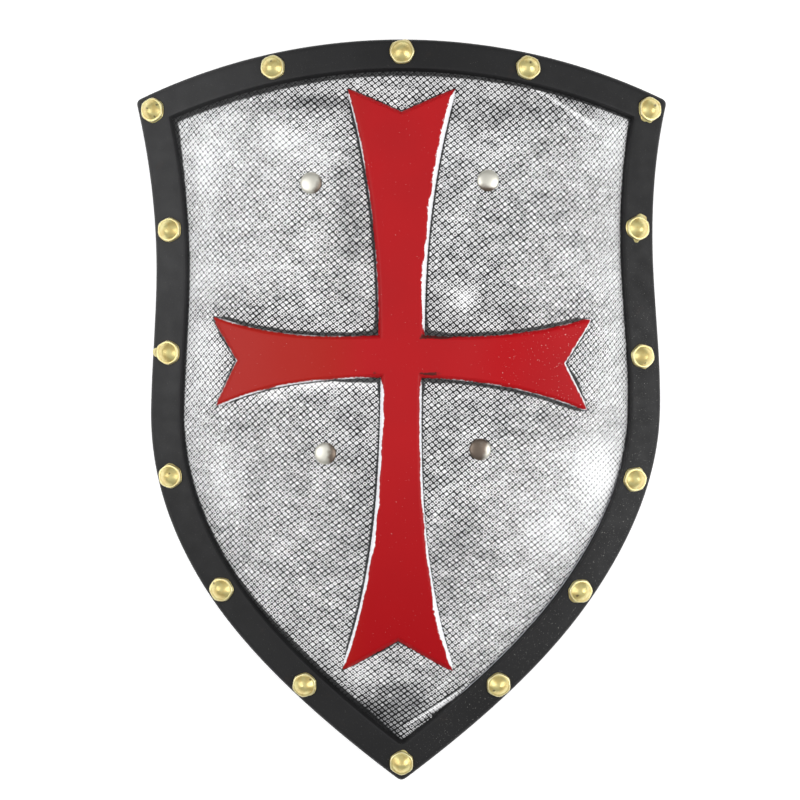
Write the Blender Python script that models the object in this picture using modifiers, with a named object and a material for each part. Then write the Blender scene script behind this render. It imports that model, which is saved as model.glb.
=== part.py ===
"""A knight's shield, lying on its back with its point toward -Y.

The body is one casting: a curved plate with a raised border, a pillowed field, a raised
cross and sixteen hexagonal bolt heads. Four rivets hold two webbing straps behind it.
Lengths are in metres and angles in degrees. Z = 0 is the surface that it lies on.
"""
import math
from collections import namedtuple

import bmesh
import bpy
import numpy as np
from mathutils import Matrix, Vector

# Overall size
SHIELD_HEIGHT = 0.600
SHIELD_WIDTH = 0.430
TOP_ARC_RADIUS = 0.510
FACE_RADIUS = 0.540
LENGTH_RADIUS = 1.600

# Outline of one side. A station is a height, a half width and a slope, as shares of the
# half height and half width.
Station = namedtuple("Station", "height half_width slope")
WAIST = Station(height=0.427, half_width=0.9335, slope=0.0)
BULGE = Station(height=0.003, half_width=0.958, slope=0.0)
SHOULDER = Station(height=-0.515, half_width=0.706, slope=0.963)
CORNER_SLOPE = 0.335
TIP_SLOPE = 1.84
CORNER_LENGTH = 0.0042

# The sides of the hand-made casting lean a little to the right at mid height.
SIDE_LEAN_WIDTH = 0.0037
LEAN_CENTRE_SHARE = 0.150
LEAN_SHARE = 0.717

# Border and plate
PLATE_THICKNESS = 0.012
EDGE_RADIUS = 0.0035
BORDER_WIDTH = 0.026
BORDER_STEP_HEIGHT = 0.006
BORDER_DRAFT_WIDTH = 0.0024
BACK_EDGE_RADIUS = 0.002
BACK_RIM_WIDTH = 0.028
BACK_RECESS_DEPTH = 0.003
BACK_SLOPE_WIDTH = 0.016

# Field: it rises like a cushion from the foot of the border.
PILLOW_HEIGHT = 0.0105
PILLOW_WIDTH = 0.025

# Raised cross, seen from the front. Directions are counterclockwise from the right, and
# widths are from the middle line of an arm to its flank.
Arm = namedtuple("Arm", "direction length notch_depth root_width end_width flare")
CROSS_HEIGHT = 0.0445
CROSS_RAISE_HEIGHT = 0.004
CROSS_DRAFT_WIDTH = 0.0022
CROSS_SINK_DEPTH = 0.0015
CROSS_ROOT_DEPTH = 0.005
RIGHT_ARM = Arm(direction=-2.6, length=0.1500, notch_depth=0.0200, root_width=0.0148,
                end_width=0.0353, flare=2.3)
UPPER_ARM = Arm(direction=90.0, length=0.2130, notch_depth=0.0185, root_width=0.0164,
                end_width=0.0414, flare=2.2)
LEFT_ARM = Arm(direction=181.7, length=0.1490, notch_depth=0.0180, root_width=0.0148,
               end_width=0.0341, flare=2.9)
LOWER_ARM = Arm(direction=269.3, length=0.2525, notch_depth=0.0245, root_width=0.0143,
                end_width=0.0430, flare=2.8)
CROSS_ARMS = (RIGHT_ARM, UPPER_ARM, LEFT_ARM, LOWER_ARM)

# Bolt heads that are cast in the border, named by the size across the flats
BOLT_WIDTH = 0.0184
BOLT_HEX_HEIGHT = 0.003
BOLT_CHAMFER_HEIGHT = 0.0009
BOLT_DOME_RADIUS = 0.0078
BOLT_DOME_HEIGHT = 0.0042
BOLT_SINK_DEPTH = 0.003

# Where they stand: a share of the length of a side, from the tip up, or of the top, from
# right to left; the inset from the outline; and the turn of the hexagon.
Bolt = namedtuple("Bolt", "share inset turn")
TIP_BOLT = Bolt(share=0.0, inset=0.0123, turn=30)
RIGHT_BOLTS = (
    Bolt(share=0.169, inset=0.0105, turn=35),
    Bolt(share=0.335, inset=0.0109, turn=2),
    Bolt(share=0.500, inset=0.0118, turn=10),
    Bolt(share=0.666, inset=0.0136, turn=45),
    Bolt(share=0.838, inset=0.0123, turn=30),
    Bolt(share=1.000, inset=0.0125, turn=30),
)
TOP_BOLTS = (
    Bolt(share=0.252, inset=0.0120, turn=40),
    Bolt(share=0.499, inset=0.0103, turn=3),
    Bolt(share=0.751, inset=0.0113, turn=25),
)
LEFT_BOLTS = (
    Bolt(share=0.998, inset=0.0117, turn=30),
    Bolt(share=0.836, inset=0.0120, turn=30),
    Bolt(share=0.671, inset=0.0125, turn=28),
    Bolt(share=0.506, inset=0.0103, turn=35),
    Bolt(share=0.338, inset=0.0108, turn=55),
    Bolt(share=0.169, inset=0.0105, turn=20),
)

# Rivets
RIVET_HEAD_RADIUS = 0.0088
RIVET_HEAD_HEIGHT = 0.0036
RIVET_RIM_HEIGHT = 0.0006
RIVET_SHANK_RADIUS = 0.0025
RIVET_CAP_RADIUS = 0.0060
RIVET_CAP_HEIGHT = 0.0015
RIVET_GAP = 0.0003

# Straps: each hangs between its two rivets, which are placed from the middle of the shield.
Strap = namedtuple("Strap", "name left_x left_y right_x right_y sag_depth")
STRAP_WIDTH = 0.030
STRAP_THICKNESS = 0.002
STRAP_TAB_LENGTH = 0.014
STRAP_PINCH_LENGTH = 0.011
SEAT_GAP = 0.0006
UPPER_STRAP = Strap(name="upper", left_x=-0.0728, left_y=0.1836, right_x=0.0697, right_y=0.1856,
                    sag_depth=0.036)
LOWER_STRAP = Strap(name="lower", left_x=-0.0613, left_y=-0.0342, right_x=0.0633, right_y=-0.0309,
                    sag_depth=0.033)
STRAPS = (UPPER_STRAP, LOWER_STRAP)

# Fineness of the faceted shapes
SIDE_STEPS = 22
TOP_STEPS = 16
CROSS_STEPS = 7
CROSS_SLICE_LENGTH = 0.020
BOLT_SIDES = 12
RIVET_SIDES = 16
DENSE_STEPS = 700
PROBE_LENGTH = 0.001

# Values worked out from the sizes above
HALF_HEIGHT = SHIELD_HEIGHT / 2
HALF_WIDTH = SHIELD_WIDTH / 2 + CORNER_LENGTH * 0.2
ARC_CENTRE_Y = HALF_HEIGHT - TOP_ARC_RADIUS
CORNER_Y = ARC_CENTRE_Y + math.sqrt(TOP_ARC_RADIUS ** 2 - HALF_WIDTH ** 2)
TIP_HALF_ANGLE = math.atan(TIP_SLOPE * HALF_WIDTH / HALF_HEIGHT)
TIP_Y = -HALF_HEIGHT - CORNER_LENGTH * math.cos(TIP_HALF_ANGLE) / 2


def hermite(start, end, y):
    """Width of the cubic that leaves one station and reaches the next at their slopes."""
    span = end[0] - start[0]
    t = (y - start[0]) / span
    rest = (1 + 2 * t) * (1 - t) ** 2 * start[1] + t ** 2 * (3 - 2 * t) * end[1]
    turn = t * (1 - t) ** 2 * start[2] + t ** 2 * (t - 1) * end[2]
    return rest + turn * span


def side_stations():
    """The stations of the right side in metres, from the tip up to the top corner."""
    slope_unit = HALF_WIDTH / HALF_HEIGHT
    stations = [(TIP_Y, 0.0, TIP_SLOPE * slope_unit)]
    for station in (SHOULDER, BULGE, WAIST):
        half_width = station.half_width * HALF_WIDTH
        stations.append((station.height * HALF_HEIGHT, half_width, station.slope * slope_unit))
    stations.append((CORNER_Y, HALF_WIDTH, CORNER_SLOPE * slope_unit))
    return stations


def right_side():
    """Dense points of the right side from the sharp tip to the sharp corner, and slopes."""
    stations = side_stations()
    y = np.linspace(TIP_Y, CORNER_Y, DENSE_STEPS)
    x = np.zeros_like(y)
    for start, end in zip(stations[:-1], stations[1:]):
        inside = (y >= start[0]) & (y <= end[0])
        x[inside] = hermite(start, end, y[inside])
    return x, y, np.gradient(x, y)


SIDE_X, SIDE_Y, SIDE_SLOPE = right_side()
TOP_X = np.linspace(HALF_WIDTH, 0.0, DENSE_STEPS)
TOP_Y = ARC_CENTRE_Y + np.sqrt(TOP_ARC_RADIUS ** 2 - TOP_X ** 2)
HALF_OUTLINE = np.column_stack([np.append(SIDE_X, TOP_X), np.append(SIDE_Y, TOP_Y)])


def inset_side(inset):
    """The right side moved inward, cut off where it meets the middle and the moved top."""
    scale = inset / np.sqrt(1 + SIDE_SLOPE ** 2)
    points = np.column_stack([SIDE_X - scale, SIDE_Y + scale * SIDE_SLOPE])
    beyond = np.hypot(points[:, 0], points[:, 1] - ARC_CENTRE_Y) - (TOP_ARC_RADIUS - inset)
    first = int(np.argmax(points[:, 0] > 0)) if inset > 0 else 1
    last = int(np.argmax(beyond > 0)) if inset > 0 else len(points) - 1
    start = cross_over(points[first - 1], points[first], -points[first - 1, 0], points[first, 0])
    end = cross_over(points[last - 1], points[last], -beyond[last - 1], beyond[last])
    return np.vstack([start, points[first:last], end])


def cross_over(before, after, short, past):
    """The point between two others, that far from each in proportion."""
    share = short / (short + past) if short + past > 0 else 1.0
    return before + (after - before) * share


def resample(points, distances):
    """Points at the given distances along a line of points."""
    steps = np.hypot(*np.diff(points, axis=0).T)
    travelled = np.append(0.0, np.cumsum(steps))
    x = np.interp(distances, travelled, points[:, 0])
    y = np.interp(distances, travelled, points[:, 1])
    return np.column_stack([x, y])


def line_length(points):
    """Length along a line of points."""
    return float(np.hypot(*np.diff(points, axis=0).T).sum())


def top_line(inset, corner):
    """The top arc moved inward, from the right corner to the left one."""
    radius = TOP_ARC_RADIUS - inset
    reach = math.asin(corner[0] / radius)
    angle = np.linspace(reach, -reach, DENSE_STEPS)
    return np.column_stack([radius * np.sin(angle), ARC_CENTRE_Y + radius * np.cos(angle)])


def stops(length, steps):
    """Distances along a stretch, with close ones at both ends for the rounded corners."""
    near = np.array([0.0, CORNER_LENGTH / 2, CORNER_LENGTH])
    middle = np.linspace(CORNER_LENGTH, length - CORNER_LENGTH, steps + 1)[1:-1]
    return np.concatenate([near, middle, length - near[::-1]])


def round_corner(ring, corner):
    """Rounds one corner of a ring with a parabola between the points two steps away."""
    count = len(ring)
    before = ring[(corner - 2) % count].copy()
    sharp = ring[corner].copy()
    after = ring[(corner + 2) % count].copy()
    for step in (-1, 0, 1):
        t = 0.5 + 0.25 * step
        bend = (1 - t) ** 2 * before + 2 * t * (1 - t) * sharp + t ** 2 * after
        ring[(corner + step) % count] = bend


def outline_ring(inset, rounded=False):
    """One closed ring around the shield, counterclockwise from the tip, before the lean."""
    side = inset_side(inset)
    right = resample(side, stops(line_length(side), SIDE_STEPS))
    top = top_line(inset, side[-1])
    over = resample(top, stops(line_length(top), TOP_STEPS))
    left = right[::-1] * (-1, 1)
    ring = np.vstack([right, over[1:-1], left[:-1]])
    if rounded:
        for corner in (0, len(right) - 1, len(right) + len(over) - 2):
            round_corner(ring, corner)
    return ring


def lean(y):
    """Sideways shift of the casting at a height."""
    share = (np.asarray(y) - LEAN_CENTRE_SHARE * HALF_HEIGHT) / (LEAN_SHARE * HALF_HEIGHT)
    share = np.clip(share, -1.0, 1.0)
    return SIDE_LEAN_WIDTH * np.cos(share * math.pi / 2) ** 2


def leaned(ring):
    """The ring with the sideways shift."""
    return np.column_stack([ring[:, 0] + lean(ring[:, 1]), ring[:, 1]])


def crown_centre_y():
    """Height of the highest point of the curved face, so that the tip and both top corners
    lie on one level surface."""
    drop = FACE_RADIUS - math.sqrt(FACE_RADIUS ** 2 - HALF_WIDTH ** 2)
    return (2 * LENGTH_RADIUS * drop / (HALF_HEIGHT + CORNER_Y) - HALF_HEIGHT + CORNER_Y) / 2


CROWN_CENTRE_Y = crown_centre_y()


def sheet_height(x, y):
    """Height of the curved sheet that every surface follows, from its highest point down."""
    x = np.asarray(x, dtype=float)
    y = np.asarray(y, dtype=float)
    across = FACE_RADIUS - np.sqrt(FACE_RADIUS ** 2 - x ** 2)
    along = (y - CROWN_CENTRE_Y) ** 2 / (2 * LENGTH_RADIUS)
    return -across - along


def lowest_sheet():
    """Height of the sheet at the lowest point of the back edge."""
    edge = leaned(outline_ring(BACK_EDGE_RADIUS, rounded=True))
    return float(sheet_height(edge[:, 0], edge[:, 1]).min())


CROWN_HEIGHT = PLATE_THICKNESS - lowest_sheet()


def border_height(x, y):
    """Height of the top of the border, and of the surface that it would go on in."""
    return CROWN_HEIGHT + sheet_height(x, y)


def inset_at(x, y):
    """Distance of each point from the outline."""
    x = np.atleast_1d(np.asarray(x, dtype=float))
    y = np.atleast_1d(np.asarray(y, dtype=float))
    across = np.abs(x - lean(y))
    gap_x = across[:, None] - HALF_OUTLINE[None, :, 0]
    gap_y = y[:, None] - HALF_OUTLINE[None, :, 1]
    return np.sqrt((gap_x ** 2 + gap_y ** 2).min(axis=1))


def field_height(x, y):
    """Height of the pillowed field."""
    inward = np.maximum(inset_at(x, y) - BORDER_WIDTH, 0.0)
    rise = PILLOW_HEIGHT * (1 - np.exp(-inward / PILLOW_WIDTH))
    return border_height(x, y) - BORDER_STEP_HEIGHT + rise


def back_height(x, y):
    """Height of the back, which is hollowed a little inside a flat rim."""
    inward = np.maximum(inset_at(x, y) - BACK_RIM_WIDTH, 0.0)
    recess = BACK_RECESS_DEPTH * (1 - np.exp(-inward / BACK_SLOPE_WIDTH))
    return border_height(x, y) - PLATE_THICKNESS + recess


def with_height(ring, heights):
    """Ring points with their heights, as triples."""
    return np.column_stack([ring, heights])


def border_ring(inset, level):
    """Ring on the border, at a level from its top."""
    ring = leaned(outline_ring(inset, rounded=inset < EDGE_RADIUS))
    return with_height(ring, border_height(ring[:, 0], ring[:, 1]) + level)


def surface_ring(inset, height, shrink=1.0):
    """Ring that lies on a surface; shrink draws it toward the crown's centre."""
    ring = outline_ring(inset)
    middle = np.array([0.0, CROWN_CENTRE_Y / 2])
    ring = leaned(middle + (ring - middle) * shrink)
    return with_height(ring, height(ring[:, 0], ring[:, 1]))


def shell_rings():
    """All rings of the plate, from the middle of the back, round the edge, to the front."""
    back_edge = -PLATE_THICKNESS
    inner = BORDER_WIDTH + 2.2 * PILLOW_WIDTH
    rings = [surface_ring(inner, back_height, shrink) for shrink in (0.2, 0.4, 0.6, 0.8, 1.0)]
    rings.append(surface_ring(BACK_RIM_WIDTH + BACK_SLOPE_WIDTH, back_height))
    rings.append(surface_ring(BACK_RIM_WIDTH, back_height))
    rings.append(border_ring(BACK_EDGE_RADIUS, back_edge))
    rings.append(border_ring(BACK_EDGE_RADIUS * 0.3, back_edge + BACK_EDGE_RADIUS * 0.3))
    rings.append(border_ring(0.0, back_edge + BACK_EDGE_RADIUS))
    for turn in (0.0, 30.0, 60.0, 90.0):
        inset = EDGE_RADIUS * (1 - math.cos(math.radians(turn)))
        level = EDGE_RADIUS * (math.sin(math.radians(turn)) - 1)
        rings.append(border_ring(inset, level))
    rings.append(border_ring(BORDER_WIDTH - BORDER_DRAFT_WIDTH, 0.0))
    rings.append(border_ring(BORDER_WIDTH, -BORDER_STEP_HEIGHT))
    for share in (0.25, 0.6, 1.2, 2.2):
        rings.append(surface_ring(BORDER_WIDTH + share * PILLOW_WIDTH, field_height))
    for shrink in (0.82, 0.62, 0.4, 0.2):
        rings.append(surface_ring(inner, field_height, shrink))
    return rings


def material(name, colour, roughness, metallic=0.0):
    """A Principled material from an sRGB colour written as six hexadecimal digits."""
    channels = [int(colour[i:i + 2], 16) / 255 for i in (0, 2, 4)]
    linear = [((c + 0.055) / 1.055) ** 2.4 if c > 0.04045 else c / 12.92 for c in channels]
    made = bpy.data.materials.new(name)
    made.use_nodes = True
    shader = made.node_tree.nodes["Principled BSDF"]
    shader.inputs["Base Color"].default_value = (*linear, 1.0)
    shader.inputs["Roughness"].default_value = roughness
    shader.inputs["Metallic"].default_value = metallic
    return made


def new_object(name, mesh, collection):
    """An object for the mesh, in the collection."""
    made = bpy.data.objects.new(name, mesh)
    collection.objects.link(made)
    return made


def as_cutter(made):
    """Marks an object as one that only cuts or joins another."""
    made.hide_render = True
    made.display_type = "WIRE"
    return made


def mesh_from(name, work):
    """A mesh of triangles from a bmesh, faces pointing out."""
    bmesh.ops.triangulate(work, faces=work.faces)
    bmesh.ops.recalc_face_normals(work, faces=work.faces)
    mesh = bpy.data.meshes.new(name)
    work.to_mesh(mesh)
    work.free()
    return mesh


def loft(work, rings):
    """Closed rings of points joined one to the next by faces; returns their vertices."""
    loops = [[work.verts.new(point) for point in ring] for ring in rings]
    for lower, upper in zip(loops[:-1], loops[1:]):
        for i in range(len(lower)):
            j = (i + 1) % len(lower)
            work.faces.new((lower[i], lower[j], upper[j], upper[i]))
    return loops


def plate_mesh():
    """The plate as a loft through its rings, closed by a fan at each end."""
    rings = shell_rings()
    work = bmesh.new()
    loops = loft(work, rings)
    ends = ((loops[0], rings[0], back_height), (loops[-1], rings[-1], field_height))
    for loop, ring, height in ends:
        x, y = ring[:, 0].mean(), ring[:, 1].mean()
        pole = work.verts.new((x, y, float(height(x, y)[0])))
        for i in range(len(loop)):
            work.faces.new((loop[i], loop[(i + 1) % len(loop)], pole))
    mesh = mesh_from("plate", work)
    mesh.shade_smooth()
    mesh.set_sharp_from_angle(angle=math.radians(35))
    return mesh


def arm_points(arm, neighbour_root):
    """Outline of one arm of the cross in its own frame: out along its right flank, round the
    swallowtail end, and back along its left flank, without the inner corners."""
    along = np.linspace(neighbour_root, arm.length, CROSS_STEPS + 1)[1:]
    share = (along - neighbour_root) / (arm.length - neighbour_root)
    half = arm.root_width + (arm.end_width - arm.root_width) * share ** arm.flare
    right = np.column_stack([along, -half])
    notch = np.array([[arm.length - arm.notch_depth, 0.0]])
    left = np.column_stack([along, half])[::-1]
    return np.vstack([right, notch, left])


def cross_outline():
    """Closed outline of the top of the cross around its centre."""
    points = []
    for index, arm in enumerate(CROSS_ARMS):
        following = CROSS_ARMS[(index + 1) % 4]
        angle = math.radians(arm.direction)
        turn = np.array([[math.cos(angle), math.sin(angle)], [-math.sin(angle), math.cos(angle)]])
        points.append(arm_points(arm, following.root_width) @ turn)
        quarter = math.radians(90 * index)
        out = np.array([math.cos(quarter), math.sin(quarter)])
        side = np.array([-out[1], out[0]])
        points.append((out * following.root_width + side * arm.root_width)[None, :])
    return np.vstack(points)


def grown(outline, distance):
    """The outline moved outward, with sharp points kept short."""
    before = outline - np.roll(outline, 1, axis=0)
    after = np.roll(outline, -1, axis=0) - outline
    normals = []
    for edge in (before, after):
        unit = edge / np.hypot(edge[:, 0], edge[:, 1])[:, None]
        normals.append(np.column_stack([unit[:, 1], -unit[:, 0]]))
    spread = np.maximum(1 + (normals[0] * normals[1]).sum(axis=1), 0.6)
    return outline + (normals[0] + normals[1]) * (distance / spread)[:, None]


def cross_mesh():
    """The cross: a flat drafted block, sliced, then bent onto the field."""
    top = cross_outline()
    wall_height = CROSS_RAISE_HEIGHT + CROSS_SINK_DEPTH
    foot = grown(top, CROSS_DRAFT_WIDTH * wall_height / CROSS_RAISE_HEIGHT)
    levels = ((foot, -CROSS_ROOT_DEPTH), (foot, -CROSS_SINK_DEPTH), (top, CROSS_RAISE_HEIGHT))
    work = bmesh.new()
    loops = loft(work, [with_height(ring, np.full(len(ring), level)) for ring, level in levels])
    work.faces.new(loops[0][::-1])
    work.faces.new(loops[-1])
    reach = max(arm.length + arm.end_width for arm in CROSS_ARMS)
    for axis in (Vector((1, 0, 0)), Vector((0, 1, 0))):
        for cut in np.arange(-reach, reach, CROSS_SLICE_LENGTH) + CROSS_SLICE_LENGTH / 2:
            parts = work.verts[:] + work.edges[:] + work.faces[:]
            bmesh.ops.bisect_plane(work, geom=parts, plane_co=axis * cut, plane_no=axis, dist=1e-6)
    spots = np.array([vert.co for vert in work.verts]) + (0.0, CROSS_HEIGHT, 0.0)
    heights = field_height(spots[:, 0], spots[:, 1])
    for vert, spot, height in zip(work.verts, spots, heights):
        vert.co = (spot[0], spot[1], spot[2] + height)
    mesh = mesh_from("cross", work)
    mesh.shade_smooth()
    mesh.set_sharp_from_angle(angle=math.radians(35))
    return mesh


def turned(name, profile, sides, collection):
    """A solid of revolution about Z from a profile that runs top to bottom."""
    mesh = bpy.data.meshes.new(name)
    points = [(radius, 0.0, height) for radius, height in profile]
    mesh.from_pydata(points, [(i, i + 1) for i in range(len(points) - 1)], [])
    made = new_object(name, mesh, collection)
    screw = made.modifiers.new("Screw", "SCREW")
    screw.axis = "Z"
    screw.steps = sides
    screw.render_steps = sides
    screw.use_merge_vertices = True
    screw.merge_threshold = 0.00001
    screw.use_smooth_shade = True
    return made


def prism(name, sides, radius, low, high, collection):
    """An upright prism or cylinder between two heights."""
    work = bmesh.new()
    middle = Matrix.Translation((0, 0, (low + high) / 2))
    bmesh.ops.create_cone(work, cap_ends=True, segments=sides, radius1=radius, radius2=radius,
                          depth=high - low, matrix=middle)
    return new_object(name, mesh_from(name, work), collection)


def bolt_rings():
    """Rings of a bolt head, top to bottom: a round dome, and a hexagon with chamfered
    corners. Each ring has a point at every corner and at the middle of every flat."""
    angle = np.arange(BOLT_SIDES) * 2 * math.pi / BOLT_SIDES
    circle = np.column_stack([np.cos(angle), np.sin(angle)])
    from_flat = (angle + math.pi / 6) % (math.pi / 3) - math.pi / 6
    to_corner = BOLT_WIDTH / 2 / np.cos(math.pi / 6 - np.abs(from_flat))
    to_corner_share = (to_corner - BOLT_WIDTH / 2) / (BOLT_WIDTH / 2 * (2 / math.sqrt(3) - 1))
    rings = []
    for turn in (28, 58, 90):
        rise = BOLT_DOME_HEIGHT * math.cos(math.radians(turn))
        radius = BOLT_DOME_RADIUS * math.sin(math.radians(turn))
        rings.append(with_height(circle * radius, np.full(BOLT_SIDES, BOLT_HEX_HEIGHT + rise)))
    chamfer = BOLT_HEX_HEIGHT - BOLT_CHAMFER_HEIGHT * (0.3 + 0.7 * to_corner_share)
    rings.append(with_height(circle * to_corner[:, None], chamfer))
    rings.append(with_height(circle * to_corner[:, None], np.full(BOLT_SIDES, -BOLT_SINK_DEPTH)))
    return rings


def bolt_mesh():
    """One bolt head."""
    work = bmesh.new()
    loops = loft(work, bolt_rings())
    top = work.verts.new((0, 0, BOLT_HEX_HEIGHT + BOLT_DOME_HEIGHT))
    for i in range(BOLT_SIDES):
        work.faces.new((loops[0][i], loops[0][(i + 1) % BOLT_SIDES], top))
    work.faces.new(loops[-1])
    return mesh_from("bolt", work)


def boolean(made, operation, other):
    """Adds an exact Boolean to an object, and flat triangles for the next one to read."""
    step = made.modifiers.new(operation.capitalize() + " " + other.name, "BOOLEAN")
    step.operation = operation
    step.solver = "EXACT"
    step.object = other
    made.modifiers.new("Triangles after " + other.name, "TRIANGULATE")


def on_surface(x, y, height, turn=0.0):
    """The frame of a thing that stands square on a surface at one spot."""
    step = PROBE_LENGTH
    here = float(np.ravel(height(x, y))[0])
    slope_x = float(np.ravel(height(x + step, y))[0]) - float(np.ravel(height(x - step, y))[0])
    slope_y = float(np.ravel(height(x, y + step))[0]) - float(np.ravel(height(x, y - step))[0])
    up = Vector((-slope_x, -slope_y, 2 * step)).normalized()
    across = Vector((0, 1, 0)).cross(up).normalized()
    along = up.cross(across)
    square = Matrix((across, along, up)).transposed().to_4x4()
    spin = Matrix.Rotation(math.radians(turn), 4, "Z")
    return Matrix.Translation((x, y, here)) @ square @ spin


def bolt_spots():
    """Place and turn of every bolt head, in x, y and degrees."""
    spots = []
    for bolts, hand in (((TIP_BOLT,) + RIGHT_BOLTS, 1), (LEFT_BOLTS, -1)):
        for bolt in bolts:
            line = inset_side(bolt.inset)
            x, y = resample(line, [line_length(line) * bolt.share])[0]
            spots.append((x * hand, y, bolt.turn))
    for bolt in TOP_BOLTS:
        line = top_line(bolt.inset, inset_side(bolt.inset)[-1])
        x, y = resample(line, [line_length(line) * bolt.share])[0]
        spots.append((x, y, bolt.turn))
    return [(x + float(lean(y)), y, turn) for x, y, turn in spots]


def bolt_heads(collection):
    """All bolt heads as one object, each square on the border."""
    mesh = bolt_mesh()
    work = bmesh.new()
    for x, y, turn in bolt_spots():
        copy = mesh.copy()
        copy.transform(on_surface(x, y, border_height, turn))
        work.from_mesh(copy)
        bpy.data.meshes.remove(copy)
    bpy.data.meshes.remove(mesh)
    joined = bpy.data.meshes.new("bolt_heads")
    work.to_mesh(joined)
    work.free()
    return as_cutter(new_object("bolt_heads", joined, collection))


def rivet_places(strap):
    """Side, x and y of a strap's two rivets."""
    return (("left", strap.left_x, strap.left_y), ("right", strap.right_x, strap.right_y))


def rivet_frames(strap):
    """The frames of a strap's left and right rivets, on the field."""
    return [on_surface(x, y, field_height) for side, x, y in rivet_places(strap)]


def depth_behind(x, y):
    """Thickness of the casting along a rivet."""
    frame = on_surface(x, y, field_height)
    front = float(np.ravel(field_height(x, y))[0])
    back = float(np.ravel(back_height(x, y))[0])
    return (front - back) * frame.col[2][2]


def rivet_profile(depth):
    """Outline of a rivet: domed head, shank through casting and strap, and end cap."""
    seat = depth + 2 * SEAT_GAP + STRAP_THICKNESS + RIVET_GAP
    profile = []
    for turn in (0, 22, 44, 66, 90):
        angle = math.radians(turn)
        rise = (RIVET_HEAD_HEIGHT - RIVET_RIM_HEIGHT) * math.cos(angle)
        profile.append((RIVET_HEAD_RADIUS * math.sin(angle), RIVET_GAP + RIVET_RIM_HEIGHT + rise))
    profile.append((RIVET_HEAD_RADIUS, RIVET_GAP))
    profile.append((RIVET_SHANK_RADIUS, RIVET_GAP))
    profile.append((RIVET_SHANK_RADIUS, -seat))
    profile.append((RIVET_CAP_RADIUS, -seat))
    profile.append((RIVET_CAP_RADIUS, -seat - RIVET_CAP_HEIGHT))
    profile.append((0.0, -seat - RIVET_CAP_HEIGHT))
    return profile


def rivet_holes(collection):
    """The holes for all four rivets, as one object."""
    work = bmesh.new()
    reach = PLATE_THICKNESS + PILLOW_HEIGHT + STRAP_TAB_LENGTH
    hole = prism("hole", RIVET_SIDES, RIVET_SHANK_RADIUS + RIVET_GAP, -reach, reach, collection)
    for strap in STRAPS:
        for frame in rivet_frames(strap):
            copy = hole.data.copy()
            copy.transform(frame)
            work.from_mesh(copy)
            bpy.data.meshes.remove(copy)
    bpy.data.objects.remove(hole)
    joined = bpy.data.meshes.new("rivet_holes")
    work.to_mesh(joined)
    work.free()
    return as_cutter(new_object("rivet_holes", joined, collection))


def strap_path(strap):
    """The upper face of a strap: flat under the casting at both rivets, hanging between."""
    slope = (strap.right_y - strap.left_y) / (strap.right_x - strap.left_x)

    def row_y(x):
        return strap.left_y + (x - strap.left_x) * slope

    def seat(x):
        return float(np.ravel(back_height(x, row_y(x)))[0]) - SEAT_GAP

    middle = (strap.left_x + strap.right_x) / 2
    bottom = seat(middle) - strap.sag_depth
    points = []
    for rivet_x, side in ((strap.left_x, -1), (strap.right_x, 1)):
        outer = rivet_x + side * STRAP_TAB_LENGTH
        inner = rivet_x - side * STRAP_PINCH_LENGTH
        run = [(x, row_y(x), seat(x)) for x in np.linspace(outer, inner, 4)]
        lift = (seat(inner + PROBE_LENGTH) - seat(inner - PROBE_LENGTH)) / (2 * PROBE_LENGTH)
        start = (inner, seat(inner), lift)
        end = (middle, bottom, 0.0)
        for x in np.linspace(inner, middle, 9)[1:]:
            run.append((x, row_y(x), hermite(start, end, x)))
        points.append(run)
    return points[0] + points[1][-2::-1]


def strap_mesh(strap):
    """The strap as a ribbon across its path."""
    path = strap_path(strap)
    middle_x = (strap.left_x + strap.right_x) / 2
    middle_y = (strap.left_y + strap.right_y) / 2
    frame = on_surface(middle_x, middle_y, back_height)
    across = Vector(frame.col[1][:3]) * (STRAP_WIDTH / 2)
    work = bmesh.new()
    near = [work.verts.new(Vector(point) - across) for point in path]
    edges = [work.edges.new(pair) for pair in zip(near[:-1], near[1:])]
    made = bmesh.ops.extrude_edge_only(work, edges=edges)
    far = [item for item in made["geom"] if isinstance(item, bmesh.types.BMVert)]
    bmesh.ops.translate(work, verts=far, vec=across * 2)
    bmesh.ops.recalc_face_normals(work, faces=work.faces)
    if sum(face.normal.z for face in work.faces) < 0:
        bmesh.ops.reverse_faces(work, faces=work.faces)
    mesh = bpy.data.meshes.new("strap_" + strap.name)
    work.to_mesh(mesh)
    work.free()
    mesh.shade_smooth()
    return mesh


def build_body(parts, cutters, finish):
    """The casting."""
    body = new_object("shield_body", plate_mesh(), parts)
    body.data.materials.append(finish)
    boolean(body, "DIFFERENCE", rivet_holes(cutters))
    boolean(body, "UNION", as_cutter(new_object("cross", cross_mesh(), cutters)))
    boolean(body, "UNION", bolt_heads(cutters))


def build_rivets(parts, finish):
    """The four rivets, each square on the field."""
    for strap in STRAPS:
        for side, x, y in rivet_places(strap):
            name = "rivet_" + strap.name + "_" + side
            rivet = turned(name, rivet_profile(depth_behind(x, y)), RIVET_SIDES, parts)
            rivet.matrix_world = on_surface(x, y, field_height)
            rivet.data.materials.append(finish)


def build_straps(parts, cutters, finish):
    """The two straps, with a hole for each rivet."""
    holes = cutters.objects["rivet_holes"]
    for strap in STRAPS:
        made = new_object("strap_" + strap.name, strap_mesh(strap), parts)
        made.data.materials.append(finish)
        thicken = made.modifiers.new("Solidify", "SOLIDIFY")
        thicken.thickness = STRAP_THICKNESS
        thicken.offset = -1
        boolean(made, "DIFFERENCE", holes)


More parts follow.
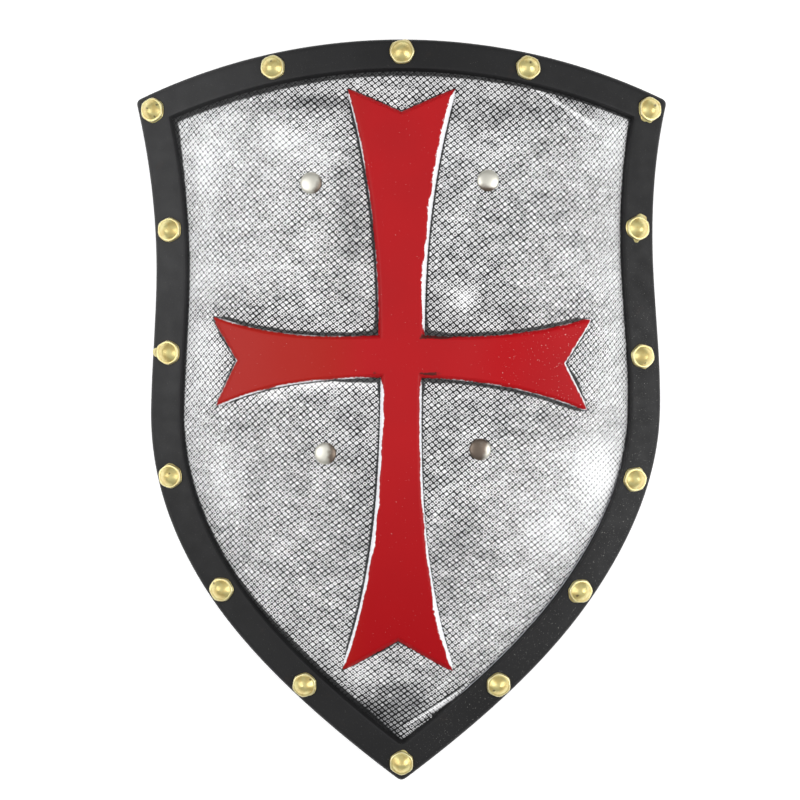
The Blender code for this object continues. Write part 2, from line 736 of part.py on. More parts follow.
def build():
    """Clears the scene and models the shield."""
    for old in list(bpy.data.objects):
        bpy.data.objects.remove(old, do_unlink=True)
    parts = bpy.data.collections.new("knight_shield")
    cutters = bpy.data.collections.new("cutters")
    for collection in (parts, cutters):
        bpy.context.scene.collection.children.link(collection)
    foam = material("painted_latex_foam", "A9ABAC", 0.55)
    steel = material("nickel_plated_steel", "C9C7C0", 0.18, metallic=1.0)
    webbing = material("black_webbing", "1B1B1C", 0.85)
    build_body(parts, cutters, foam)
    build_rivets(parts, steel)
    build_straps(parts, cutters, webbing)


build()
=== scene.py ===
"""Looks of a knight's shield, dressed over its packed solids.

The casting, its crosshatched field, the raised cross, the bolt heads, the rivets and the
straps are surfaces worked out from the sizes in the property groups below. Lengths are in
metres and angles in degrees.
"""

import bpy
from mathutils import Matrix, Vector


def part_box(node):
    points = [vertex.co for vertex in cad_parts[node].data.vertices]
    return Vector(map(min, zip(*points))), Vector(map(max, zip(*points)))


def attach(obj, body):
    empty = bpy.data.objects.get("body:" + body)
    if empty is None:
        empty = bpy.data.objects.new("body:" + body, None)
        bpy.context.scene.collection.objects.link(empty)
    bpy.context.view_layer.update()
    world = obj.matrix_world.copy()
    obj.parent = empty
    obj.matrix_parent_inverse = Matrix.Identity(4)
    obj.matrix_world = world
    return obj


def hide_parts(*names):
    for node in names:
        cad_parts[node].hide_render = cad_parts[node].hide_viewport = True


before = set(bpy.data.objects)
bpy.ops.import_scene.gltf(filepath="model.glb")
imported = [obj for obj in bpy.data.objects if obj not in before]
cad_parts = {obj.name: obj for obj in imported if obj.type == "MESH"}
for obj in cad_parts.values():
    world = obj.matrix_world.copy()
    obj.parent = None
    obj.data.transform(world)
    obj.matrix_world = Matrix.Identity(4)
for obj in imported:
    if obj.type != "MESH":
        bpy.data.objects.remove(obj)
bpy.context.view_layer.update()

import math

import bmesh
import bpy
import numpy as np
from bpy.props import FloatProperty, FloatVectorProperty, PointerProperty
from mathutils import Matrix, Vector

bl_info = {
    "name": "Knight Shield",
    "version": (1, 0, 0),
    "blender": (4, 5, 0),
    "location": "View3D > Sidebar > Shield",
    "description": "Dresses a cast knight's shield with its paint, fixings and straps",
    "category": "Object",
}

MILLIMETRE = 0.001
SHARP_EDGE = math.radians(50)
HALF_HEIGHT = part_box("shield_body")[1][1]


def srgb(code):
    """Linear colour from an sRGB colour written as six hexadecimal digits."""
    channels = [int(code[i:i + 2], 16) / 255 for i in (0, 2, 4)]
    return [((c + 0.055) / 1.055) ** 2.4 if c > 0.04045 else c / 12.92 for c in channels]


def length(name, default, description=""):
    """A size in metres for a property group."""
    return FloatProperty(name=name, description=description or name, default=default,
                         unit="LENGTH", precision=5)


def ratio(name, default, description=""):
    """A plain number for a property group."""
    return FloatProperty(name=name, description=description or name, default=default)


def colour(name, code, description=""):
    """A colour for a property group."""
    return FloatVectorProperty(name=name, description=description or name, size=3,
                               subtype="COLOR", default=srgb(code), min=0.0, max=1.0)


class ShieldSizes(bpy.types.PropertyGroup):
    """Sizes of the casting"""
    height: length("Height", 2 * HALF_HEIGHT, "Length from the tip to the top of the arc")
    width: length("Width", 0.43, "Width across the top corners")
    top_arc: length("Top arc radius", 0.51, "Radius of the curved top edge")
    face_radius: length("Face radius", 0.54, "Radius of the face from side to side")
    length_radius: length("Length radius", 1.6, "Radius of the face from tip to top")
    corner: length("Corner length", 0.0042, "Reach of the rounding at each corner")
    lean: length("Lean", 0.0037, "Sideways shift of the casting at mid height")
    thickness: length("Thickness", 0.012, "Thickness of the plate at its border")
    edge_round: length("Edge round", 0.0035, "Radius of the outer edge")
    back_round: length("Back edge round", 0.002, "Size of the rounding at the back edge")
    border: length("Border width", 0.026, "Width of the raised border at its foot")
    step: length("Border step", 0.006, "Height of the border over the field beside it")
    draft: length("Border draft", 0.0024, "Slope of the border's inner wall")
    pillow_rise: length("Pillow rise", 0.0105, "Rise of the field from the border inward")
    pillow_reach: length("Pillow reach", 0.025, "Distance in which the field rises")
    back_rim: length("Back rim", 0.028, "Width of the flat rim behind the border")
    back_recess: length("Back recess", 0.003, "Depth of the hollow of the back")
    back_slope: length("Back slope", 0.016, "Distance in which the back is hollowed")
    undercoat: length("Undercoat depth", 0.0014, "Depth of the plate under the crosshatch")


class CrossSizes(bpy.types.PropertyGroup):
    """Sizes of the raised cross"""
    centre: length("Centre height", 0.0445, "Height of the crossing over the middle")
    rise: length("Rise", 0.004, "Height of the cross over the field")
    draft: length("Draft", 0.0022, "Slope of the walls of the cross")
    sink: length("Sink", 0.0015, "Depth of the foot of the walls under the field")
    edge: length("Edge round", 0.0009, "Rounding of the upper edge")


class HatchSizes(bpy.types.PropertyGroup):
    """Sizes of the crosshatched field"""
    first_pitch: length("First pitch", 0.00362, "Spacing of the grooves that fall to the right")
    second_pitch: length("Second pitch", 0.00380, "Spacing of the grooves that rise to the right")
    first_angle: ratio("First angle", 43.5, "Direction across the first grooves, in degrees")
    second_angle: ratio("Second angle", 126.5, "Direction across the second grooves, in degrees")
    groove: ratio("Groove share", 0.30, "Width of a groove as a share of the pitch")
    depth: length("Groove depth", 0.00055, "Depth of the grooves")
    warp: length("Warp", 0.0011, "Sway of the hand-cut rows")


class FixingSizes(bpy.types.PropertyGroup):
    """Sizes of the bolt heads and the rivets"""
    flats: length("Bolt flats", 0.0184, "Size of a bolt head across its flats")
    hexagon: length("Hexagon height", 0.003, "Height of the hexagon over the border")
    dome_radius: length("Dome radius", 0.0078, "Radius of the dome of a bolt head")
    dome_height: length("Dome height", 0.0042, "Height of the dome over the hexagon")
    head_radius: length("Rivet head radius", 0.0088, "Radius of a rivet's head")
    head_height: length("Rivet head height", 0.0036, "Height of a rivet's head")
    rim: length("Rivet rim", 0.0006, "Height of the rim of a rivet's head")
    shank: length("Rivet shank", 0.0025, "Radius of a rivet's shank")
    cap_radius: length("Rivet cap radius", 0.006, "Radius of the cap at the back")
    cap_height: length("Rivet cap height", 0.0015, "Height of the cap at the back")
    clearance: length("Rivet clearance", 0.0003, "Gap between the head and the field")


class StrapSizes(bpy.types.PropertyGroup):
    """Sizes of the two straps"""
    width: length("Strap width", 0.030, "Width of the webbing")
    thickness: length("Strap thickness", 0.002, "Thickness of the webbing")
    tab: length("Strap tab", 0.014, "Webbing beyond each rivet")
    pinch: length("Strap pinch", 0.011, "Flat stretch on the inner side of each rivet")
    seat_gap: length("Seat gap", 0.0006, "Gap between the webbing and the back")
    upper_sag: length("Upper sag", 0.0359, "Hang of the upper strap")
    lower_sag: length("Lower sag", 0.0329, "Hang of the lower strap")
    rib: length("Rib spacing", 0.0016, "Spacing of the woven ribs")


class PaintColours(bpy.types.PropertyGroup):
    """Colours of the finishes"""
    latex: colour("Black latex", "171718", "Skin of the border")
    foam: colour("Black foam", "222223", "Back of the casting")
    groove: colour("Groove black", "101112", "Paint left in the grooves")
    silver: colour("Silver", "f6f6f7", "Dry-brushed silver")
    silver_low: colour("Worn silver", "939396", "Thin silver over black")
    red: colour("Red", "a90811", "Paint of the cross")
    gold: colour("Gold", "d5ca86", "Paint of the bolt heads")
    # Gold in the hollows: thin gold over black, darkened further as painted shade
    gold_low: colour("Gold in the hollows", "8d7f3a", "Gold paint over black")
    nickel: colour("Nickel", "dedcd1", "Plating of the rivets")
    webbing: colour("Webbing", "1a1a1c", "Yarn of the straps")
    floor: colour("Floor", "f7f7f7", "Backdrop")


# Outline of one side: height and half width as shares of the half height and half width,
# and the slope there.
SIDE_STATIONS = ((-0.515, 0.706, 0.963), (0.003, 0.958, 0.0), (0.427, 0.9335, 0.0))
CORNER_SLOPE = 0.335
TIP_SLOPE = 1.84
LEAN_CENTRE = 0.150
LEAN_REACH = 0.717
CORNER_LOSS = 0.2  # what the rounding takes off the half width, as a share of its reach
OUTLINE_STEPS = 700
SIDE_STEPS = 96
TOP_STEPS = 64
BACK_TURNS = (90, 60, 30, 0)

# Arms of the cross: direction, reach, notch, half width at the root and end, flare
CROSS_ARMS = (
    (-2.6, 0.1500, 0.0200, 0.0148, 0.0353, 2.3),
    (90.0, 0.2130, 0.0185, 0.0164, 0.0414, 2.2),
    (181.7, 0.1490, 0.0180, 0.0148, 0.0341, 2.9),
    (269.3, 0.2525, 0.0245, 0.0143, 0.0430, 2.8),
)

# Rivets: name and place in the field
RIVETS = {
    "upper_left": (-0.0728, 0.1836),
    "upper_right": (0.0697, 0.1856),
    "lower_left": (-0.0613, -0.0342),
    "lower_right": (0.0633, -0.0309),
}

# Painted dark brown reflection on each rivet: the direction that it spreads from, and where
# it stops, as a share of the head's radius from the far side (-1) to the near side (1)
RIVET_DARK_REFLECTIONS = {
    "upper_left": (-25, 0.50), "upper_right": (-100, 0.50), "lower_left": (-5, 0.25),
    "lower_right": (165, -0.60),
}

# Bolt heads, from the tip up the right side, over the top and down the left: the line that
# each is on, its share of that line, its inset from the outline in mm, and its turn
BOLTS = (
    ("right", 0.000, 12.3, 30), ("right", 0.169, 10.5, 35), ("right", 0.335, 10.9, 2),
    ("right", 0.500, 11.8, 10), ("right", 0.666, 13.6, 45), ("right", 0.838, 12.3, 30),
    ("right", 1.000, 12.5, 30), ("top", 0.252, 12.0, 40), ("top", 0.499, 10.3, 3),
    ("top", 0.751, 11.3, 25), ("left", 0.998, 11.7, 30), ("left", 0.836, 12.0, 30),
    ("left", 0.671, 12.5, 28), ("left", 0.506, 10.3, 35), ("left", 0.338, 10.8, 55),
    ("left", 0.169, 10.5, 20),
)

# Gold paint that ran past a bolt head: bolt, direction, half width in degrees, reach in mm
SPILLS = (
    (0, 75, 14, 1.0), (1, 330, 22, 0.5), (2, 225, 24, 1.1), (3, 60, 18, 0.6),
    (5, 66, 22, 3.3), (5, 262, 12, 1.9), (5, 170, 30, 0.7), (6, 236, 16, 1.6),
    (6, 268, 12, 1.2), (6, 20, 30, 0.5), (8, 150, 24, 0.9), (8, 60, 30, 0.8),
    (10, 205, 40, 0.7), (10, 300, 30, 0.5), (12, 180, 20, 3.6), (13, 90, 30, 0.5),
    (14, 250, 30, 0.7), (15, 320, 30, 0.6), (11, 215, 40, 0.9), (4, 285, 14, 0.7),
)

# Silver over the whole field, and patches where it is thicker or thinner: place and reach
# in mm, and how much of it. Most are brushwork; the lighter bands beside the side borders
# are painted light, and the thin dark strips under the top border painted shade
BASE_LOAD = 0.21
BRUSH_AND_LIGHT_PATCHES = (
    (-150, 215, 40, 28, 0.30), (-165, 120, 18, 60, 0.22), (160, 215, 34, 22, 0.22),
    (178, 80, 14, 120, 0.34), (165, -70, 20, 50, 0.42), (50, 90, 8, 8, 0.75),
    (-60, -165, 45, 22, -0.10), (-36, -205, 14, 16, 0.50), (-110, -90, 55, 35, -0.10),
    (95, -150, 45, 30, 0.10), (-150, -20, 26, 70, 0.16), (110, 150, 45, 40, -0.10),
    (-95, 150, 40, 45, 0.14), (55, 105, 30, 40, -0.14), (-188, 175, 7, 45, 0.35),
    (-70, 249, 30, 6, -0.62), (-42, 150, 12, 60, -0.30), (75, 240, 46, 12, -0.30),
    (-95, -12, 60, 12, -0.12), (95, -8, 55, 12, -0.26), (0, -240, 26, 20, -0.60),
    (-36, -60, 12, 60, -0.22), (42, -80, 14, 60, -0.16), (-120, 82, 60, 10, -0.14),
    (60, 82, 60, 10, -0.14), (-165, 50, 14, 40, 0.24), (130, -15, 30, 30, 0.10),
    (-160, 198, 7, 26, 0.26), (-98, 221, 12, 8, 0.40), (-107, 14, 16, 7, 0.60),
    (-62, 22, 44, 3.5, 0.80), (-72, 212, 22, 16, 0.36), (85, -90, 40, 30, 0.14),
    (112, 263, 16, 4, -0.50), (136, 253, 12, 4, -0.50), (152, 243, 8, 4, -0.40),
    (152, -48, 17, 20, 0.34), (120, -92, 15, 20, 0.38), (60, -112, 20, 22, -0.20),
    (-142, -62, 12, 26, 0.22), (-31, -138, 2.0, 5, 0.60), (14, -262, 10, 3, 0.60),
    (40, -241, 14, 4, 0.60),
)


# The outline and the surfaces

POINTS_AT_ONCE = 4000  # points whose distances are found together
NOISE_WAVES = 6
NOISE_PEAK = 3.2  # usual peak of the sum of the waves


def hermite(start, end, y):
    """Cubic through two stations (y, x, dx/dy): the usual sum of the four Hermite blends."""
    span = end[0] - start[0]
    t = (y - start[0]) / span
    ends = (1 + 2 * t) * (1 - t) ** 2 * start[1] + t ** 2 * (3 - 2 * t) * end[1]
    turns = t * (1 - t) ** 2 * start[2] + t ** 2 * (t - 1) * end[2]
    return ends + turns * span


class Outline:
    """The shield's outline and the surfaces that follow it, from the sizes."""

    def __init__(self, sizes):
        self.s = sizes
        self.half_height = sizes.height / 2
        self.half_width = sizes.width / 2 + sizes.corner * CORNER_LOSS
        self.arc_y = self.half_height - sizes.top_arc
        self.corner_y = self.arc_y + math.sqrt(sizes.top_arc ** 2 - self.half_width ** 2)
        unit = self.half_width / self.half_height
        tip_angle = math.atan(TIP_SLOPE * unit)
        self.tip_y = -self.half_height - sizes.corner * math.cos(tip_angle) / 2
        stations = [(self.tip_y, 0.0, TIP_SLOPE * unit)]
        for height, width, slope in SIDE_STATIONS:
            stations.append((height * self.half_height, width * self.half_width, slope * unit))
        stations.append((self.corner_y, self.half_width, CORNER_SLOPE * unit))
        y = np.linspace(self.tip_y, self.corner_y, OUTLINE_STEPS)
        x = np.zeros_like(y)
        for start, end in zip(stations[:-1], stations[1:]):
            inside = (y >= start[0]) & (y <= end[0])
            x[inside] = hermite(start, end, y[inside])
        self.side = np.column_stack([x, y])
        self.slope = np.gradient(x, y)
        over = np.linspace(self.half_width, 0.0, OUTLINE_STEPS // 2)
        arc = self.arc_y + np.sqrt(sizes.top_arc ** 2 - over ** 2)
        self.half = np.vstack([self.side[::2], np.column_stack([over, arc])])
        drop = sizes.face_radius - math.sqrt(sizes.face_radius ** 2 - self.half_width ** 2)
        reach = self.half_height + self.corner_y
        self.crown_y = (2 * sizes.length_radius * drop / reach - self.half_height
                        + self.corner_y) / 2
        self.crown = 0.0
        lowest = []
        for turn in BACK_TURNS:
            inset, lift = self.back_edge(turn)
            edge = self.ring(inset, SIDE_STEPS, TOP_STEPS, rounded=True)
            lowest.append(self.border_height(*edge.T).min() + lift)
        self.crown = sizes.thickness - float(min(lowest))

    def back_edge(self, turn):
        """Inset and height over the back of the quarter circle at the back edge."""
        angle = math.radians(turn)
        return (self.s.back_round * (1 - math.cos(angle)),
                self.s.back_round * (1 - math.sin(angle)))

    def inset_side(self, inset):
        """The right side moved inward along its normal, from the middle to the moved top."""
        if inset <= 0:
            return self.side
        scale = inset / np.sqrt(1 + self.slope ** 2)
        points = np.column_stack([self.side[:, 0] - scale, self.side[:, 1] + scale * self.slope])
        beyond = np.hypot(points[:, 0], points[:, 1] - self.arc_y) - (self.s.top_arc - inset)
        first = int(np.argmax(points[:, 0] > 0))
        last = int(np.argmax(beyond > 0))
        share = -points[first - 1, 0] / (points[first, 0] - points[first - 1, 0])
        start = points[first - 1] + (points[first] - points[first - 1]) * share
        share = -beyond[last - 1] / (beyond[last] - beyond[last - 1])
        end = points[last - 1] + (points[last] - points[last - 1]) * share
        return np.vstack([start, points[first:last], end])

    def top_line(self, inset, corner_x):
        """The top arc moved inward, from the right corner to the left one."""
        radius = self.s.top_arc - inset
        reach = math.asin(corner_x / radius)
        angle = np.linspace(reach, -reach, OUTLINE_STEPS)
        return np.column_stack([radius * np.sin(angle), self.arc_y + radius * np.cos(angle)])

    def ring(self, inset, side_steps, top_steps, rounded=False):
        """A closed line at one distance from the outline, from the tip round to the left."""
        side = self.inset_side(inset)
        right = resample(side, stops(line_length(side), side_steps, self.s.corner))
        top = self.top_line(inset, side[-1, 0])
        over = resample(top, stops(line_length(top), top_steps, self.s.corner))
        ring = np.vstack([right, over[1:-1], (right[::-1] * (-1, 1))[:-1]])
        corners = (0, len(right) - 1, len(right) + len(over) - 2) if rounded else (0,)
        for corner in corners:
            round_corner(ring, corner)
        return np.column_stack([ring[:, 0] + self.lean(ring[:, 1]), ring[:, 1]])

    def lean(self, y):
        """Sideways shift: a squared cosine of the height, as wide as the lean's reach."""
        share = (y - LEAN_CENTRE * self.half_height) / (LEAN_REACH * self.half_height)
        return self.s.lean * np.cos(np.clip(share, -1, 1) * math.pi / 2) ** 2

    def inset(self, x, y):
        """Distance of points from the outline, found among the outline's own points."""
        x, y = np.atleast_1d(x).ravel(), np.atleast_1d(y).ravel()
        across = np.abs(x - self.lean(y))
        nearest = np.empty(len(x))
        for start in range(0, len(x), POINTS_AT_ONCE):
            part = slice(start, start + POINTS_AT_ONCE)
            gap_x = across[part, None] - self.half[None, :, 0]
            gap_y = y[part, None] - self.half[None, :, 1]
            nearest[part] = np.sqrt((gap_x ** 2 + gap_y ** 2).min(axis=1))
        return nearest

    def border_height(self, x, y):
        """A cylinder across and a parabola along: minus (R - sqrt(R2 - x2)) and (y - c)2 / 2L."""
        radius = self.s.face_radius
        across = radius - np.sqrt(radius ** 2 - x ** 2)
        return self.crown - across - (y - self.crown_y) ** 2 / (2 * self.s.length_radius)

    def field_height(self, x, y, inset=None):
        """The border's height less the step, plus rise * (1 - exp(-inward / reach))."""
        inset = self.inset(x, y) if inset is None else inset
        inward = np.maximum(inset - self.s.border, 0)
        rise = self.s.pillow_rise * (1 - np.exp(-inward / self.s.pillow_reach))
        return self.border_height(x, y) - self.s.step + rise

    def back_height(self, x, y):
        """The border's height less the thickness, plus recess * (1 - exp(-inward / slope))."""
        inward = np.maximum(self.inset(x, y) - self.s.back_rim, 0)
        recess = self.s.back_recess * (1 - np.exp(-inward / self.s.back_slope))
        return self.border_height(x, y) - self.s.thickness + recess

    def frame_at(self, x, y, height, turn=0.0):
        """The frame of a thing that stands square on a surface at one spot."""
        step = MILLIMETRE
        near = height(np.array([x, x + step, x - step, x, x]),
                      np.array([y, y, y, y + step, y - step]))
        up = Vector((near[2] - near[1], near[4] - near[3], 2 * step)).normalized()
        across = Vector((0, 1, 0)).cross(up).normalized()
        axes = Matrix((across, up.cross(across), up)).transposed().to_4x4()
        spin = Matrix.Rotation(math.radians(turn), 4, "Z")
        return Matrix.Translation((x, y, near[0])) @ axes @ spin


def line_length(points):
    """Length along a line of points."""
    return float(np.hypot(*np.diff(points, axis=0).T).sum())


def resample(points, distances):
    """Points at the given distances along a line of points."""
    travelled = np.append(0.0, np.cumsum(np.hypot(*np.diff(points, axis=0).T)))
    columns = [np.interp(distances, travelled, points[:, axis]) for axis in (0, 1)]
    return np.column_stack(columns)


def stops(total, steps, near):
    """Distances along a stretch, closer together at both ends."""
    close = np.array([0.0, near / 2, near])
    middle = np.linspace(near, total - near, steps + 1)[1:-1]
    return np.concatenate([close, middle, total - close[::-1]])


def round_corner(ring, corner):
    """Rounds one corner of a ring: a parabola between the points two steps away."""
    count = len(ring)
    before, sharp, after = (ring[(corner + k) % count].copy() for k in (-2, 0, 2))
    for step in (-1, 0, 1):
        t = 0.5 + 0.25 * step
        bend = (1 - t) ** 2 * before + 2 * t * (1 - t) * sharp + t ** 2 * after
        ring[(corner + step) % count] = bend


def smooth_noise(x, y, size, seed):
    """Soft noise, mostly from -1 to 1: a sum of sine waves of nearly one wavelength."""
    rng = np.random.default_rng(seed)
    total = np.zeros_like(x)
    for angle, phase, stretch in zip(rng.uniform(0, math.tau, NOISE_WAVES),
                                     rng.uniform(0, math.tau, NOISE_WAVES),
                                     rng.uniform(0.7, 1.5, NOISE_WAVES)):
        wave = math.tau / (size * stretch)
        total += np.sin((x * math.cos(angle) + y * math.sin(angle)) * wave + phase)
    return total / NOISE_PEAK


def step_up(values, low, high):
    """Smooth step from 0 at low to 1 at high."""
    t = np.clip((values - low) / (high - low), 0, 1)
    return t * t * (3 - 2 * t)


def soft_patches(patches, x, y, softness=1.0):
    """Sum over the patches of amount * exp(-(distance over reach) squared / softness)."""
    total = np.zeros(len(x))
    for at_x, at_y, wide, high, amount in patches:
        gap = ((x / MILLIMETRE - at_x) / wide) ** 2 + ((y / MILLIMETRE - at_y) / high) ** 2
        total += amount * np.exp(-gap / softness)
    return total


# Meshes

def grid_faces(rows, columns, closed):
    """Faces of a grid of points, row by row; closed joins the last column to the first."""
    last = columns if closed else columns - 1
    row = np.arange(rows - 1)[:, None] * columns
    near = np.arange(last)[None, :]
    far = (near + 1) % columns
    quads = np.stack([row + near, row + far, row + columns + far, row + columns + near], axis=-1)
    return quads.reshape(-1, 4)


def fan(pole, start, count, turned=False):
    """Triangles from a pole to a closed ring of points, facing the other way if turned."""
    sides = [(start + k, start + (k + 1) % count) for k in range(count)]
    return [(pole, far, near) if turned else (pole, near, far) for near, far in sides]


def mesh_object(name, points, faces, values=(), smooth=True, close=None):
    """An object at the origin for arrays of points and lists of faces. It has values for each
    point, which materials read by their names. With a distance to close, points that near are
    merged and all faces turned outward."""
    mesh = bpy.data.meshes.new(name)
    faces = [tuple(int(i) for i in face) for face in faces]
    mesh.from_pydata(np.asarray(points, dtype=float).tolist(), [], faces)
    for key, numbers in dict(values).items():
        layer = mesh.attributes.new(key, "FLOAT", "POINT")
        layer.data.foreach_set("value", np.asarray(numbers, dtype=np.float32))
    if close is not None:
        work = bmesh.new()
        work.from_mesh(mesh)
        if close > 0:
            bmesh.ops.remove_doubles(work, verts=work.verts, dist=close)
        bmesh.ops.recalc_face_normals(work, faces=work.faces)
        work.to_mesh(mesh)
        work.free()
    mesh.update()
    mesh.polygons.foreach_set("use_smooth", np.full(len(mesh.polygons), smooth))
    made = bpy.data.objects.new(name, mesh)
    bpy.context.scene.collection.objects.link(made)
    return made


def turned_points(profile, sides):
    """A profile of (radius, height) carried round Z: radius * (cos a, sin a), height."""
    angle = np.arange(sides) * math.tau / sides
    radius, height = np.asarray(profile).T
    x = radius[:, None] * np.cos(angle)
    y = radius[:, None] * np.sin(angle)
    return np.stack([x, y, np.broadcast_to(height[:, None], x.shape)], axis=-1).reshape(-1, 3)


def moved(points, matrix):
    """Points carried into a frame."""
    matrix = np.array(matrix)
    return points @ matrix[:3, :3].T + matrix[:3, 3]


# Materials

def node_adder(tree, shader):
    """The function that adds nodes to a tree. An input is a number, a colour or another
    node's output; without a kind, the inputs are those of the tree's own shader."""
    def add(kind, inputs, out=0, **settings):
        node = tree.nodes.new("ShaderNode" + kind) if kind else tree.nodes[shader]
        for key, value in settings.items():
            setattr(node, key, value)
        for key, value in inputs.items():
            socket = node.inputs[key]
            if isinstance(value, bpy.types.NodeSocket):
                tree.links.new(value, socket)
            elif socket.type == "RGBA":
                socket.default_value = (*value[:3], 1.0)
            else:
                socket.default_value = value
        return node.outputs[out]

    return add


def new_material(name):
    """A material with a Principled shader, and the function that adds nodes to its tree."""
    made = bpy.data.materials.new(name)
    made.use_nodes = True
    return made, node_adder(made.node_tree, "Principled BSDF")


# Settings of the nodes that every finish uses
TIMES = {"operation": "MULTIPLY"}
PLUS = {"operation": "ADD"}
TIMES_PLUS = {"operation": "MULTIPLY_ADD"}
MOST = {"operation": "MAXIMUM"}
SIZE_OF = {"operation": "ABSOLUTE"}
POWER = {"operation": "POWER"}
SMOOTH = {"interpolation_type": "SMOOTHSTEP"}
TINT = {"data_type": "RGBA"}


def per_metre(millimetres):
    """Scale of a pattern whose features are this many millimetres apart."""
    return 1 / (millimetres * MILLIMETRE)


def field_paint(colours):
    """Dry-brushed silver acrylic over black latex. The brush leaves metal on the pads and
    black in the grooves, thick where the hand rubbed and thin beside the cross, so the eye
    reads a worn, woven iron sheet."""
    made, add = new_material("dry_brushed_silver_over_black_latex")
    place = add("TexCoord", {}, 3)
    load, pad_tone, dots, field_shade = [add("Attribute", {}, 2, attribute_name=name)
                                  for name in ("brushed", "pad_tone", "dot", "field_shade")]
    pad = add("SeparateXYZ", {0: add("UVMap", {}, uv_map="pad")}).node.outputs
    sides = []
    for axis, share in ((0, 0.985), (1, 1.0)):
        across = add("Math", {0: add("Math", {0: pad[axis], 1: share}, **TIMES)}, **SIZE_OF)
        sides.append(add("Math", {0: across, 1: 5.0}, **POWER))
    outward = add("Math", {0: add("Math", {0: sides[0], 1: sides[1]}, **PLUS), 1: 0.2}, **POWER)
    cloud = add("TexNoise", {0: place, 2: per_metre(32), 3: 4.0, 4: 0.62})
    cloud = add("MapRange", {0: cloud, 3: -0.42, 4: 0.42})
    stroke = add("Mapping", {0: place, 3: (0.45, 1.2, 1.0)})
    stroke = add("TexNoise", {0: stroke, 2: per_metre(8), 3: 3.0, 4: 0.6})
    stroke = add("MapRange", {0: stroke, 3: -0.45, 4: 0.45})
    grit = add("TexNoise", {0: place, 2: per_metre(1.0), 3: 2.0, 4: 0.6})
    grit = add("MapRange", {0: grit, 3: -0.5, 4: 0.5})
    load = add("Math", {0: load, 1: add("Math", {0: cloud, 1: stroke}, **PLUS)}, **PLUS)
    level = add("Math", {0: load, 1: 0.24, 2: add("Math", {0: outward, 1: -1.0}, **TIMES)},
                **TIMES_PLUS)
    level = add("Math", {0: grit, 1: 0.40, 2: level}, **TIMES_PLUS)
    cover = add("MapRange", {0: level, 1: -0.85, 2: -0.62}, **SMOOTH)
    tone = add("Math", {0: pad_tone, 1: 0.15, 2: load}, **TIMES_PLUS)
    tone = add("Math", {0: grit, 1: 0.55, 2: tone}, **TIMES_PLUS)
    tone = add("MapRange", {0: tone, 1: -0.95, 2: 0.45}, **SMOOTH)
    silver = add("Mix", {0: tone, 6: colours.silver_low, 7: colours.silver}, 2, **TINT)
    painted = add("Mix", {0: cover, 6: colours.groove, 7: silver}, 2, **TINT)
    # Painted shade: a dark dot in the middle of each pad for the shade of a dimple, with black
    # that the brush left in it
    dot = add("MapRange", {0: outward, 1: 0.52, 2: 0.20}, **SMOOTH)
    dot = add("Math", {0: dot, 1: dots}, **TIMES)
    thin = add("MapRange", {0: load, 1: 0.95, 2: 0.30}, **SMOOTH)
    dot = add("Math", {0: dot, 1: thin}, **TIMES)
    painted = add("Mix", {0: dot, 6: painted, 7: srgb("3c3d3f")}, 2, **TINT)
    ragged = add("TexNoise", {0: place, 2: per_metre(4), 3: 3.0, 4: 0.65})
    ragged = add("MapRange", {0: ragged, 3: -0.25, 4: 0.25})
    # Painted shade in the corners under the cross and the border, with a ragged edge
    field_shade = add("Math", {0: ragged, 1: field_shade}, **PLUS)
    field_shade = add("MapRange", {0: field_shade, 1: 0.30, 2: 0.60, 4: 0.94}, **SMOOTH)
    rough = add("MapRange", {0: cover, 3: 0.56, 4: 0.46})
    add(None, {
        "Base Color": add("Mix", {0: field_shade, 6: painted, 7: srgb("191a1b")}, 2, **TINT),
        "Metallic": 0.12, "Roughness": rough, "Specular IOR Level": 0.40,
        "Normal": add("Bump", {0: 0.35, 1: 0.0002, "Height": grit}),
    })
    return made


